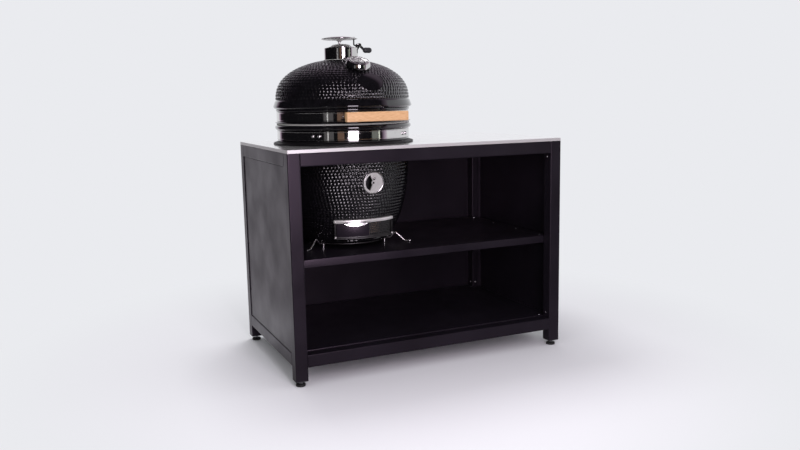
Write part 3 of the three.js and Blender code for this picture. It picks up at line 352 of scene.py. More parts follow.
def surface(name, color, rough, metal=0.0, tones=None, uneven=None, bump=None, more=None):
    """A material whose colour, roughness and bump follow noises; each of the three starts with its noise."""
    m = bpy.data.materials.new(name)
    m.use_nodes = True
    nt = m.node_tree
    b = nt.nodes["Principled BSDF"]
    for key, part in {"Base Color": (*color, 1), "Roughness": rough, "Metallic": metal, **(more or {})}.items():
        b.inputs[key].default_value = part
    source = {use[0]: noise(nt, *use[0]) for use in (tones, uneven, bump) if use}
    if tones:
        wire(nt, b.inputs["Base Color"], ramp(nt, source[tones[0]], tones[1:]))
    if uneven:
        wire(nt, b.inputs["Roughness"], mapped(nt, source[uneven[0]], 0.3, 0.7, *uneven[1:]))
    if bump:
        lifted = node(nt, "Bump", {"Height": source[bump[0]], "Strength": bump[1], "Distance": bump[2]})
        wire(nt, b.inputs["Normal"], lifted.outputs["Normal"])
    return m


def scaled(color, share):
    return tuple(min(1, c * share) for c in color)


def brushed(name="brushed_steel", along=(1.2, 90, 90), rough=(0.26, 0.36), color=(0.60, 0.60, 0.61), metal=1.0):
    grain = (26, 5, along)
    return surface(name, color, 0.3, metal, (grain, (0.25, scaled(color, 0.9)), (0.75, scaled(color, 1.08))),
                   (grain, *rough), (grain, 0.12, 0.00006))


def stone(name, dark, light):
    return surface(name, light, 0.85, 0.0, ((90, 6), (0.35, dark), (0.65, light)), bump=((360, 4), 0.35, 0.0006))


def moulded(name, color, rough=0.5, scale=500):
    return surface(name, color, rough, 0.0, ((35, 3), (0.3, scaled(color, 0.8)), (0.7, scaled(color, 1.2))),
                   ((25, 3), rough - 0.06, rough + 0.06), ((scale, 2), 0.2, 0.0002))


# Painted light: the coat's faint purple colour and its purple Specular Tint stand in for purple-tinted light falling
# on the frame and reflected by it.
PAINT = surface("black_powder_coat", (0.009, 0.0075, 0.0105), 0.36, 0.0,
                ((5, 2), (0.3, (0.0075, 0.0062, 0.009)), (0.7, (0.0115, 0.0095, 0.014))),
                ((7, 4), 0.29, 0.40), ((900, 1), 0.08, 0.0001),
                {"Specular IOR Level": 0.38, "Specular Tint": (1.0, 0.80, 1.0, 1)})
BRUSHED = brushed()
# Painted light: the worktop is a lighter, partly diffuse copy of the brushed steel; its light colour stands in for
# the bright surroundings that the steel reflects.
LIGHTENED_WORKTOP_STEEL = brushed("lightened_worktop_steel", (1.2, 90, 90), (0.10, 0.17), (0.92, 0.905, 0.91), 0.74)
# Painted shade: the worktop's edges get a darker, less metallic copy of the same steel, which holds back the lamp's
# reflection on them; the copy is also rougher.
DIMMED_EDGE_STEEL = brushed("dimmed_edge_steel", (1.2, 1.2, 90), (0.36, 0.44), (0.58, 0.56, 0.566), 0.35)
ROUND = (30, 30, 30)
PLATE = brushed("plate_steel", ROUND, (0.26, 0.36), (0.78, 0.765, 0.755), 0.55)
SATIN = brushed("satin_steel", ROUND, (0.20, 0.30), (0.78, 0.77, 0.77))
CAST_STEEL = brushed("cast_steel", ROUND, (0.42, 0.52), (0.86, 0.86, 0.85), 0.7)
# Painted shade: near-black steel for the draft opening's sill and jambs and for the spark screen, which lie in
# shade; the stand's hoop is made of it as well.
DARK_STEEL = brushed("dark_steel", ROUND, (0.42, 0.55), (0.10, 0.098, 0.10))
ZINC = brushed("zinc_wire", (60, 60, 60), (0.22, 0.34), (0.55, 0.55, 0.57))
MIRROR = (0.66, 0.65, 0.64)
POLISHED = surface("polished_steel", MIRROR, 0.06, 1.0, ((22, 4), (0.3, scaled(MIRROR, 0.96)), (0.7, MIRROR)),
                   ((22, 4), 0.035, 0.09), ((14, 1), 0.05, 0.0004))
GLAZE = surface("black_glaze", (0.004, 0.0037, 0.0045), 0.1, 0.0,
                ((40, 3), (0.3, (0.0028, 0.0026, 0.0032)), (0.7, (0.0062, 0.0056, 0.0072))),
                ((60, 3), 0.04, 0.08), ((260, 2), 0.06, 0.0004),
                {"Specular IOR Level": 0.5, "Coat Weight": 0.8, "Coat Roughness": 0.03})
DULL = moulded("dull_glaze", (0.0045, 0.0042, 0.005), 0.5)
RAW = stone("raw_ceramic", (0.42, 0.36, 0.30), (0.58, 0.52, 0.45))
FIRECLAY = stone("fireclay", (0.42, 0.32, 0.21), (0.60, 0.47, 0.33))
STRIPES = (30, 6, (1.5, 22, 22))
BAMBOO = surface("bamboo", (0.74, 0.43, 0.22), 0.42, 0.0,
                 (STRIPES, (0.28, (0.50, 0.26, 0.11)), (0.5, (0.68, 0.40, 0.20)), (0.75, (0.77, 0.48, 0.26))),
                 (STRIPES, 0.36, 0.5), (STRIPES, 0.15, 0.0002), {"Coat Weight": 0.25, "Coat Roughness": 0.2})
IRON = surface("cast_iron", (0.02, 0.02, 0.023), 0.6, 0.4,
               ((80, 5), (0.3, (0.012, 0.012, 0.014)), (0.7, (0.034, 0.034, 0.038))),
               ((120, 3), 0.5, 0.7), ((500, 3), 0.4, 0.0004))
FELT = surface("felt", (0.46, 0.46, 0.44), 0.95, 0.0,
               ((350, 4), (0.3, (0.35, 0.355, 0.335)), (0.7, (0.54, 0.545, 0.52))),
               bump=((900, 3), 0.7, 0.0006), more={"Sheen Weight": 0.3})
PLY = surface("plywood", (0.42, 0.27, 0.14), 0.8, 0.0,
              ((12, 5, (2, 30, 200)), (0.3, (0.30, 0.19, 0.10)), (0.7, (0.5, 0.34, 0.19))),
              bump=((60, 4, (1, 12, 30)), 0.3, 0.0005))
PLASTIC = moulded("black_plastic", (0.030, 0.031, 0.034), 0.40)
RUBBER = moulded("rubber", (0.012, 0.012, 0.012), 0.75, 300)
DIAL = moulded("dial_card", (0.80, 0.79, 0.76), 0.35, 1200)
INK = surface("dial_ink", (0.01, 0.01, 0.011), 0.5, 0.0,
              ((300, 2), (0.3, (0.007, 0.007, 0.008)), (0.7, (0.016, 0.016, 0.017))))
GLASS = surface("dial_glass_clear", (0.97, 0.98, 0.98), 0.02, bump=((30, 1), 0.05, 0.0002),
                more={"Transmission Weight": 1.0, "IOR": 1.45})

# The record's slots with their materials; the first of each is also the finish of the slot's solids.
SLOTS = {
    "black_powder_coat": [PAINT], "brushed_steel": [BRUSHED, LIGHTENED_WORKTOP_STEEL, ZINC],
    "polished_steel": [POLISHED, SATIN, PLATE, CAST_STEEL, DARK_STEEL], "glazed_ceramic": [GLAZE],
    "fireclay": [FIRECLAY], "bamboo": [BAMBOO], "black_plastic": [PLASTIC], "rubber": [RUBBER], "felt": [FELT],
    "cast_iron": [IRON], "plywood": [PLY], "dial_glass": [DIAL, GLASS, INK],
}


# ---------------- pieces

def placed(name, data):
    obj = bpy.data.objects.new(name, data)
    bpy.context.collection.objects.link(obj)
    return obj


def declared(obj, body, node_name=None):
    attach(obj, body)
    if node_name:
        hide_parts(node_name)
    return obj


def shaded(me, sharp=32):
    me.shade_smooth()
    me.set_sharp_from_angle(angle=radians(sharp))


def solid_mesh(name, shape, home):
    """A mesh in metres, with its faces outwards, of a shape that stands at its home."""
    me = bpy.data.meshes.new(name)
    points = (np.asarray(shape[0], float) + np.asarray(home)) * MM
    me.from_pydata(points.tolist(), [], [list(map(int, f)) for f in shape[1]])
    me.validate()
    bm = bmesh.new()
    bm.from_mesh(me)
    bmesh.ops.recalc_face_normals(bm, faces=bm.faces)
    bm.to_mesh(me)
    bm.free()
    return me


def build(name, shape, body, material, replaced=None, home=KAMADO, slot=None, sharp=32, smooth=True):
    """A piece of the scene that rides on a body, and may replace a node of the solids."""
    me = solid_mesh(name, shape, home)
    me.materials.append(material)
    if smooth:
        shaded(me, sharp)
    return declared(placed(name, me), body, replaced)


def cut(obj, *shapes, home=KAMADO):
    """Takes shapes away from an object with exact booleans, and leaves no modifier behind."""
    for shape in shapes:
        tool = placed("cutter", solid_mesh("cutter", shape, home))
        mod = obj.modifiers.new("cut", "BOOLEAN")
        mod.operation, mod.solver, mod.object = "DIFFERENCE", "EXACT", tool
        bpy.context.view_layer.update()
        made = bpy.data.meshes.new_from_object(obj.evaluated_get(bpy.context.evaluated_depsgraph_get()))
        obj.modifiers.clear()
        old, obj.data = obj.data, made
        bpy.data.meshes.remove(old)
        bpy.data.objects.remove(tool)
    obj.data.set_sharp_from_angle(angle=radians(32))


def dress_solids():
    """Every solid that stays in view gets the finish of its slot."""
    for part in frame["record"]["subparts"]:
        solid = frame["nodes"][part["node"]]
        solid.data.materials.clear()
        solid.data.materials.append(SLOTS[part["material_slot"]][0])


# ---------------- glazed ceramic

STEPS, ROW = 1080, 1.65
PEBBLE_ROW, PEBBLE_PITCH, PEBBLE_R, PEBBLE_H = 13.0, 14.8, 7.0, 2.6
CAP_R = (PEBBLE_R ** 2 + PEBBLE_H ** 2) / (2 * PEBBLE_H)
PLAQUE_BEARING, PLAQUE_Z, PLAQUE_REACH, PLAQUE_HALF = 6.0, 248.0, 262.0, (58.0, 42.0)
PLAQUE_H, PLAQUE_RIM, PLAQUE_EDGE = 1.6, 0.5, 0.03


def run_along(line):
    """How far each point of a line is from its start."""
    return np.concatenate([[0], np.cumsum(np.hypot(*np.diff(line, axis=0).T))])


def spaced(points, step):
    """Points along a line at about equal steps."""
    p = np.array(points, float)
    runs = run_along(p)
    at = np.linspace(0, runs[-1], max(2, round(runs[-1] / step) + 1))
    return np.column_stack([np.interp(at, runs, p[:, 0]), np.interp(at, runs, p[:, 1])])


def pebbles(line, angles, seed):
    """Heights of rows of rounded pebbles on a surface of revolution whose outline is the line."""
    s = run_along(line)
    count = int((s[-1] - PEBBLE_ROW) // PEBBLE_ROW) + 1
    row = s[-1] / (count + 0.1)
    rng = np.random.default_rng(seed)
    height = np.zeros((len(line), len(angles)))
    for k in range(count):
        middle = (k + 0.55) * row
        r = np.interp(middle, s, line[:, 0])
        n = max(8, round(2 * pi * r / PEBBLE_PITCH))
        pitch = 2 * pi / n
        jitter = rng.uniform(-0.09, 0.09, (n, 2))
        size = rng.uniform(0.92, 1.05, n)
        near = np.abs(s - middle) < PEBBLE_R * 1.4
        turn = (angles / pitch + 0.5 * (k % 2)) % n
        for nearest in (np.floor(turn), np.floor(turn) + 1):
            index = nearest.astype(int) % n
            dx = (turn - nearest + jitter[index, 0]) * pitch * r
            dy = (s[near] - middle)[:, None] + jitter[index, 1] * PEBBLE_ROW
            d = np.sqrt(dx ** 2 + dy ** 2) / size[index]
            cap = np.sqrt(np.clip(CAP_R ** 2 - d ** 2, 0, None)) - (CAP_R - PEBBLE_H)
            height[near] = np.maximum(height[near], cap)
    return height


def with_plaque(height, line, angles):
    """The heights with a smooth, blank oval plaque and its rim in place of the pebbles under it."""
    s = run_along(line)
    lean = angles + pi / 2 - radians(PLAQUE_BEARING)
    lean = (lean + pi) % (2 * pi) - pi
    across = lean[None, :] * PLAQUE_REACH / PLAQUE_HALF[0]
    up = ((s - np.interp(PLAQUE_Z, line[:, 1], s)) / PLAQUE_HALF[1])[:, None]
    span = np.sqrt(across ** 2 + up ** 2)
    inside = np.clip((1.0 - span) / PLAQUE_EDGE, 0, 1)
    rim = np.exp(-((span - 0.95) / PLAQUE_EDGE) ** 2) * PLAQUE_RIM
    return height * (1 - inside) + (PLAQUE_H + rim) * inside


def revolved(parts, seed):
    """The vertices, quads and material indices of one closed shell, from parts (outline, relief, material index)."""
    angles = np.arange(STEPS) * 2 * pi / STEPS
    rings, kinds = [], []
    for points, relief, kind in parts:
        line = spaced(points, ROW) if relief else np.array(points, float)
        r, z = line[:, :1], line[:, 1:]
        if relief:
            along = np.gradient(line, axis=0)
            along /= np.linalg.norm(along, axis=1)[:, None]
            height = pebbles(line, angles, seed)
            lift = (with_plaque(height, line, angles) if relief == "plaque" else height) - PEBBLE_H
            lift[0] = lift[-1] = 0
            r, z = r + along[:, 1:] * lift, z - along[:, :1] * lift
        rings.append(np.stack([r * np.cos(angles), r * np.sin(angles), z + 0 * angles], axis=2).reshape(-1, 3))
        kinds += [kind] * len(line)
    low, here = np.arange(len(kinds))[:, None] * STEPS, np.arange(STEPS)
    high, there = np.roll(low, -1, 0), np.roll(here, -1)
    faces = np.stack([low + here, low + there, high + there, high + here], axis=2).reshape(-1, 4)
    return np.vstack(rings), faces, np.repeat(kinds, STEPS)


def ceramic(name, parts, body, replaced, seed, opening=None):
    verts, faces, kinds = revolved(parts, seed)
    if opening:
        keep = ~opening(verts[faces].mean(1))
        faces, kinds = faces[keep], kinds[keep]
    me = bpy.data.meshes.new(name)
    me.vertices.add(len(verts))
    me.vertices.foreach_set("co", ((verts + np.array(KAMADO)) * MM).ravel())
    me.loops.add(len(faces) * 4)
    me.loops.foreach_set("vertex_index", faces.ravel().astype(np.int32))
    me.polygons.add(len(faces))
    me.polygons.foreach_set("loop_start", np.arange(len(faces), dtype=np.int32) * 4)
    for material in (GLAZE, RAW, DULL):
        me.materials.append(material)
    me.polygons.foreach_set("material_index", kinds.astype(np.int32))
    me.update(calc_edges=True)
    me.validate()
    shaded(me, 50)
    declared(placed(name, me), body, replaced)


PORT_Z, PORT_BEARING, PORT_R = -148.98, 4, 46.0
PORT_TILT = atan2(body_at(PORT_Z + PORT_R) - body_at(PORT_Z - PORT_R), 2 * PORT_R)
PORT = on_wall(PORT_BEARING, body_at(PORT_Z), PORT_Z, PORT_TILT)
DIAL_R = DOME_R * 0.668
DIAL_TILT = atan2(dome_z(DIAL_R - GAP) - dome_z(DIAL_R + GAP), 2 * GAP)
DIAL_PLACE = Matrix.Translation((0, -DIAL_R, dome_z(DIAL_R))) @ Matrix.Rotation(DIAL_TILT, 4, "X")
DRAFT_TOP, DRAFT_H = -297.5, 78.0


def make_dome():
    outer_r = [NECK_R + (DOME_R - NECK_R) * cos(a) for a in np.linspace(0, pi / 2, 60)]
    slope = [(DOME_R - 1, RIDGE_FOLD + 0.5)] + [(r, dome_z(r)) for r in outer_r if dome_z(r) > RIDGE_FOLD + 2]
    ridges = [(RIM_IN, DOME_FOOT), (BODY_R, DOME_FOOT)] + bulge(BODY_R, 9.5, DOME_FOOT, DOME_RECESS)
    ridges += [(BODY_R, DOME_RECESS + 1), (BODY_R, DOME_RECESS_TOP)]
    ridges += bulge(BODY_R, 5.5, DOME_RECESS_TOP, SHOULDER_TOP + 1)
    crown = [(BODY_R, SHOULDER_TOP), (BODY_R + 9.5, SHOULDER_TOP + 0.2), (BODY_R + 16, SHOULDER_TOP + 7),
             (BODY_R + 12.6, SHOULDER_TOP + 17), (BODY_R + 8.4, RIDGE_TOP - 1), (DOME_R + 1, RIDGE_FOLD - 1.5),
             (DOME_R - 1, RIDGE_FOLD)]
    ridges += fillet(crown, [0, 3, 7, 9, 5, 3, 0], 8, False)[1:]
    neck = [(NECK_R, NECK_Z), (NECK_BORE + 0.6, NECK_Z), (NECK_BORE, NECK_Z - 0.6)]
    inner_r = [NECK_BORE + (DOME_R - WALL - NECK_BORE) * cos(a) for a in np.linspace(pi / 2, 0, 24)]
    inner = [(r, dome_z(r, WALL)) for r in inner_r] + [(RIM_IN, DOME_FOOT + 60), (RIM_IN, DOME_FOOT + 1)]
    parts = [(ridges, None, 0), (slope[:-1], "plaque", 0), (neck, None, 0), (inner, None, 1)]
    ceramic("dome_ceramic", parts, "lid", "dome_shell", 3)


def make_base():
    def opening(spots):
        """Which of the spots lie in the draft opening or in the port."""
        angle = np.degrees(np.arctan2(spots[:, 0], -spots[:, 1]))
        draft = (np.abs(angle) < 31) & (spots[:, 2] > DRAFT_TOP - DRAFT_H + 2) & (spots[:, 2] < DRAFT_TOP - 2)
        local = moved((spots, None), PORT.inverted())[0]
        return draft | ((np.hypot(local[:, 0], local[:, 1]) < 38) & (np.abs(local[:, 2]) < 60))

    floor, reach = WALL - BODY_DEPTH, 292.5
    wall = [(body_at(z), z) for z in np.linspace(-BODY_DEPTH + 10, -14, 60)]
    foot = fillet([(0.01, -BODY_DEPTH), (body_at(-BODY_DEPTH + 6) - 2, -BODY_DEPTH), wall[0]], [0, 9, 0], 6, False)
    flange = [(BODY_R, GAP), (reach, GAP), (reach, 6), (BODY_R + 2, 11), (BODY_R, 13)]
    flange = flange[:1] + fillet(flange, [0, 4, 5, 3, 0], 6, False)
    top = [(BODY_R, 15), (BODY_R, BASE_RECESS_TOP)] + bulge(BODY_R, 11, BASE_RECESS_TOP, BASE_RIM, 20)
    top += [(RIM_IN + 1, BASE_RIM), (RIM_IN, BASE_RIM - 1)]
    inside = [(body_at(z, -WALL), z) for z in np.linspace(-1, floor + 8, 26)]
    inside += [(body_at(floor, -WALL) - 8, floor), (0.01, floor)]
    parts = [(foot[:-1], None, 0), (wall, "rows", 0), (flange, None, 2), (top, None, 0), (inside, None, 1)]
    ceramic("base_ceramic", parts, "table", "base_shell", 5, opening)


# ---------------- bands, seals and handle

STRIP_IN = BAND_OUT + GAP


def band(name, body, low):
    half = [(BAND_IN, 0), (BAND_OUT - 0.8, 0), (BAND_OUT, 1.2), (BAND_OUT, 3.2), (BAND_OUT - 0.9, 4.6)]
    edge = [(r, low + z) for r, z in half] + [(r, low + BAND_H - z) for r, z in half[::-1]]
    edge = fillet(edge, [0, 0.6, 0.6, 0.6, 0.8, 0.8, 0.6, 0.6, 0.6, 0], 3)
    build(name + "_mirror", lathe(edge, 240), body, POLISHED, name)


def bolt_head(bearing, z, reach, radius, height):
    """A domed nut on the outside of a band, at a bearing from straight ahead towards +X."""
    line = [(0, -1), (radius, -1), (radius, 0.8), *domed(radius, 0.8, height, (25, 50, 72)), (0, height)]
    return moved(lathe(line, 24), on_wall(bearing, reach, z))


def make_bands():
    band("base_band", "table", BASE_BAND)
    band("dome_band", "lid", DOME_BAND)
    nuts = [bolt_head(a, 38.2, BAND_OUT - 0.4, 7, 5.6) for a in (-46.1, -40.4, 46.1, 40.4)]
    build("base_band_nuts", join(*nuts), "table", SATIN)
    for name, body, low in (("base_gasket", "table", 79.8), ("dome_gasket", "lid", 82.3)):
        line = fillet(oblong(252.5, 276.5, low, low + 2.2), 0.9, 3)
        build(name + "_felt", lathe(line, 180), body, FELT, name)


def make_handle():
    turn = turned(3, "Z")
    low, high, back, at = DOME_BAND + 4.25, DOME_BAND + 32.25, -320.0, 95.0
    bar = block(-131, 131, back - 26, back, low - 4.5, high + 4.5, 5, 5)
    build("handle_bamboo", moved(bar, turn), "lid", BAMBOO, "handle_bar", sharp=40)
    for side, sign in (("left", -1), ("right", 1)):
        x = at * sign
        bearing = sign * degrees(asin(at / (STRIP_IN + 1.5)))
        pad = block(x - 18, x + 18, back + GAP, back + GAP + 3, low, high, 1.2, 3)
        web = block(x - 3, x + 3, back + 2, -262, low, high, 0.8, 2)
        foot = arc_sheet(STRIP_IN, STRIP_IN + 3, bearing - 5, bearing + 5, low, high, 16, 0.8)
        bolts = [bolt_head(bearing + d, (low + high) / 2, STRIP_IN + 2.9, 4.2, 3) for d in (-3.4, 3.4)]
        bracket = moved(join(pad, web, foot, *bolts), turn)
        build("handle_bracket_polished_" + side, bracket, "lid", POLISHED, "handle_bracket_" + side)


# ---------------- vent on the dome

LEVER_X, LEVER_Z, POST_X = 78.5, CHIMNEY_TOP + 11, 57.5
DAMPER_FOOT = CHIMNEY_TOP + GAP
DAMPER_TOP = DAMPER_FOOT + 15
CAP_FOOT = DAMPER_TOP + 19
RAIN_R, RAIN_X = 76, -6
VENTS = [sector(14, 28, k * 72, k * 72 + 34) for k in range(5)]


def make_chimney():
    foot, top, sheet = CHIMNEY_FOOT, CHIMNEY_TOP, 3
    line = [(BARREL_R - sheet, foot), (BARREL_R, foot), (BARREL_R, top), (NECK_BORE, top), (NECK_BORE, top - sheet),
            (BARREL_R - sheet, top - sheet)]
    barrel = lathe(fillet(line, [0.4, 0.8, 4, 0.8, 0.4, 1], 5), 128)
    ear = [(69, LEVER_Z - 22), (69, LEVER_Z)] + arc(8, np.linspace(pi, -pi / 2, 24), LEVER_X, LEVER_Z)
    ears = [upright(prism(ear, y, y + 3, 0.5, 2, [circle(3, 24, LEVER_X, LEVER_Z)])) for y in (10.3, -13.3)]
    build("chimney_polished", join(barrel, *ears), "lid", POLISHED, "chimney_barrel")
    low, high = NECK_Z - 1.2, NECK_Z + 2
    skirt = fillet([(66, low), (74.2, low), (74.2, NECK_Z + 0.8), (70.7, high), (66, high)], 0.5, 2)
    build("chimney_seal", lathe(skirt, 128), "lid", FELT)


def make_damper():
    f, t = DAMPER_FOOT, DAMPER_TOP
    line = [(0, t - 2.5), (18, t - 2.5), (33, t - 5.5), (46, f), (55, f), (55, f + 2.6), (49, f + 3), (35, t - 3),
            (19, t), (0, t)]
    cover = lathe(to_axis(line, [0, 8, 6, 0.6, 1.2, 2, 9, 9], 5), 128)
    cover = build("damper_polished", cover, "damper", POLISHED, "vent_damper")
    cut(cover, *[prism(vent, t - 8, t + 6) for vent in VENTS])
    tab = join(block(-6, 6, 55, 66, f, f + 3, 0.8), block(-6, 6, 63.5, 66, f, f + 11, 0.8, 3))
    build("damper_tab", tab, "damper", POLISHED)


def cap_z(r):
    """The level of the rain cap's underside at a radius."""
    return CAP_FOOT + 10 * sqrt(max(0.0, 1 - (r / RAIN_R) ** 2))


def make_rain_cap():
    inner = [(0, cap_z(0))] + [(r, cap_z(r)) for r in (10, 20, 35, 50, 62, 70, 73)]
    rolled = arc(1.6, np.linspace(-pi * 0.9, pi * 0.7, 12), 74.4, CAP_FOOT + 1.7)
    outer = [(r, cap_z(r) + 2 * (1 - (r / RAIN_R) ** 6)) for r in (74, 73, 70, 65, 58, 50, 40, 30, 20, 10, 0)]
    cap = build("rain_cap_polished", lathe(inner + rolled + outer, 144), "cap", POLISHED, "rain_cap")
    low, high = DAMPER_TOP + GAP, CAP_FOOT + 2.6
    line = [(0, low), (5, low), (5, CAP_FOOT - 10), (14, CAP_FOOT - 4.5), (72, CAP_FOOT + 1.4), (70, high),
            (0, high)]
    stem = build("rain_cap_stem", lathe(to_axis(line, [0, 5, 8, 0, 0], 6), 96), "cap", CAST_STEEL)
    for piece in (cap, stem):
        piece.data.transform(Matrix.Translation((RAIN_X * MM, 0, 0)))


def make_lever():
    head, grip_z = cap_z(POST_X + 6) + 2.2, LEVER_Z - 20
    path = bent_path([(POST_X, 0, head), (POST_X, 0, LEVER_Z), (LEVER_X, 0, LEVER_Z)], 4)
    start = [(LEVER_X + x, 0, LEVER_Z + 1.5) for x in (-4, 3)]
    arm = bent_path(start + [(104, 0, grip_z), (118, 0, grip_z)], 5)
    knob = lathe([(0, head - 1), (4.6, head - 1), (4.6, head + 2.4), (3.6, head + 3), (0, head + 3)], 24)
    barrel = upright(lathe(fillet(oblong(2, 7.6, -10, 10), 1.2, 3), 40))
    pin = upright(lathe(mirrored([(0, 14.9), (3.4, 14.7), (4, 14), (4, 13.6), (2.7, 13.6)]), 24))
    pivot = moved(join(barrel, pin), offset=(LEVER_X, 0, LEVER_Z))
    lever = join(tube(path, 2.9, 16), tube(arm, 5.2, 20, 2.5), moved(knob, offset=(POST_X, 0, 0)), pivot)
    build("vent_lever_rod", lever, "cap", IRON, "vent_lever")
    r, end = 11.5, 20
    low = [(r * sin(a), -end + r - r * cos(a)) for a in np.radians((15, 35, 55, 75, 90))]
    line = [(0, -end), *low, (r * 0.97, 0), *domed(r, end - r, end, (0, 20, 40, 60, 78)), (0, end)]
    ball = moved(lathe(line, 40), turned(90, "Y"), (117, 0, grip_z))
    build("lever_grip_moulded", ball, "cap", PLASTIC, "lever_grip")


# ---------------- thermometer

def numeral(text, size, place):
    """A generic number of the dial's scale, as flat mesh."""
    curve = bpy.data.curves.new("numeral", "FONT")
    curve.body, curve.size, curve.align_x, curve.align_y = text, size, "CENTER", "CENTER"
    curve.extrude = 0.08
    obj = placed("numeral", curve)
    bpy.context.view_layer.update()
    me = obj.evaluated_get(bpy.context.evaluated_depsgraph_get()).to_mesh()
    shape = np.array([v.co[:] for v in me.vertices]), [list(f.vertices) for f in me.polygons]
    obj.to_mesh_clear()
    bpy.data.objects.remove(obj)
    bpy.data.curves.remove(curve)
    return moved(shape, offset=place)


def make_thermometer():
    def on_dial(name, shape, material, replaced=None, **more):
        build("thermometer_" + name, moved(shape, DIAL_PLACE), "lid", material, replaced, **more)

    face, glass = 21, 38.8
    line = [(0, -54), (3.2, -54), (4, -52), (4, 2.4), (49, 2.4), (50, 3.4), (50, 7.5), (48.4, 14), (44.6, 21.5),
            (41.6, 24), (39.4, 24), (39, 23.4), (39, face - 0.1), (0, face - 0.1)]
    case = lathe(to_axis(line, [0, 1, 0, 0, 0, 2, 6, 5, 2.5, 0.6, 0.4, 0], 6), 128)
    on_dial("case_polished", case, POLISHED, "thermometer_case")
    on_dial("card", lathe(oblong(0, glass, face, face + 0.4), 96), DIAL)
    lens = lathe([(0, 22.7), (glass, 22.7), (glass, 23.5), (38, 23.7), (0, 23.9)], 96)
    on_dial("lens", lens, GLASS, "thermometer_glass")
    marks, count = [], 36
    for i in range(count):
        angle = 225 - i * 270 / (count - 1)
        start, half = (32, 0.35) if i % 5 == 0 else (34, 0.2)
        tick = block(start, 36.6, -half, half, face + 0.4, face + 0.55, 0)
        marks.append(moved(tick, turned(angle, "Z")))
        if i % 5 == 0:
            x, y = arc(27, [radians(angle)])[0]
            marks.append(numeral(str(50 + i * 10), 5.6, (x, y, face + 0.45)))
    on_dial("scale", join(*marks), INK, smooth=False)
    hand = prism([(-9, -1.4), (-3, -0.9), (30, -0.25), (30, 0.25), (-3, 0.9), (-9, 1.4)], 21.9, 22.3)
    hub = lathe([(0, 21.4), (3.6, 21.4), (3.6, 22.2), (2.6, 22.6), (0, 22.6)], 32)
    on_dial("needle", join(moved(hand, turned(232, "Z")), hub), PLASTIC, slot="dial_glass")


# ---------------- air port and draft opening

def make_port():
    def in_port(name, shape, body, material, replaced=None):
        return build("port_" + name, moved(shape, PORT), body, material, replaced)

    floor, back = 4.4, -4.5
    ring = [(34, -20), (36.8, -20), (36.8, back), (PORT_R, back), (PORT_R, 5.8), (43.6, 8.2), (41, 7), (41, floor),
            (34, floor)]
    ring = lathe(fillet(ring, [0, 0, 0, 0, 2.2, 1.6, 0.8, 0, 0], 4), 96)
    window = moved(prism(sector(8, 34.2, 112, 248, 28), -60, 60), PORT)
    in_port("ring_satin", ring, "table", SATIN, "port_bezel")
    cut(in_port("plate", prism(circle(34.5, 64), floor - 3, floor), "table", PLATE), window)
    pin = lathe([(0, floor - 3), (3.9, floor - 3), (3.9, 8.6), (3.1, 9.4), (0, 9.4)], 24)
    in_port("pin", pin, "table", POLISHED)
    shut = lathe(fillet(oblong(4.3, 40.4, floor + GAP, floor + 2.3), [0, 0.3, 0.5, 0], 2), 96)
    cut(in_port("shutter_plate", shut, "shutter", PLATE, "port_shutter"), window)
    knob = [(0, 2), (3.2, 2), (3.2, 6), (5.2, 8.5), (5.2, 13), (0.1, 14), (0, 14)]
    knob = lathe(to_axis([(r, floor + z) for r, z in knob], [0, 1.5, 1, 2, 0], 4), 32)
    in_port("knob", moved(knob, offset=(0, 19, 0)), "shutter", POLISHED)
    low = floor - 3.2
    well = [(0, -38), (33.8, -38), (33.8, -36), (33.8, low), (33, low), (33, -36.5), (0, -36.5)]
    in_port("sleeve_inside", lathe(well, 64), "table", IRON)


DRAFT_IN, DRAFT_OUT, DRAFT_TURN = 186.0, 241.9, 29.7


def draft_lip(top, middle, half, depth=17, steps=32):
    """A pull whose lower edge hangs in a half oval; its middle and half its width are bearings."""
    section = [(0.4, 0.0), (1.4, 0.0), (3.4, 0.3), (4.8, 0.65), (5.2, 0.92), (4.4, 1.0), (3.6, 0.85), (2.2, 0.5)]
    loops, half = [], radians(half)
    for i in range(steps + 1):
        a = -half + 2 * half * (i / steps)
        drop = depth * sqrt(max(0.0, 1 - (sin(a) / sin(half)) ** 2)) + 0.6
        a += radians(middle)
        spots = [(DRAFT_OUT + 2 + out, top - down * drop) for out, down in section]
        loops.append([(r * sin(a), -r * cos(a), z) for r, z in spots])
    return loft(loops)


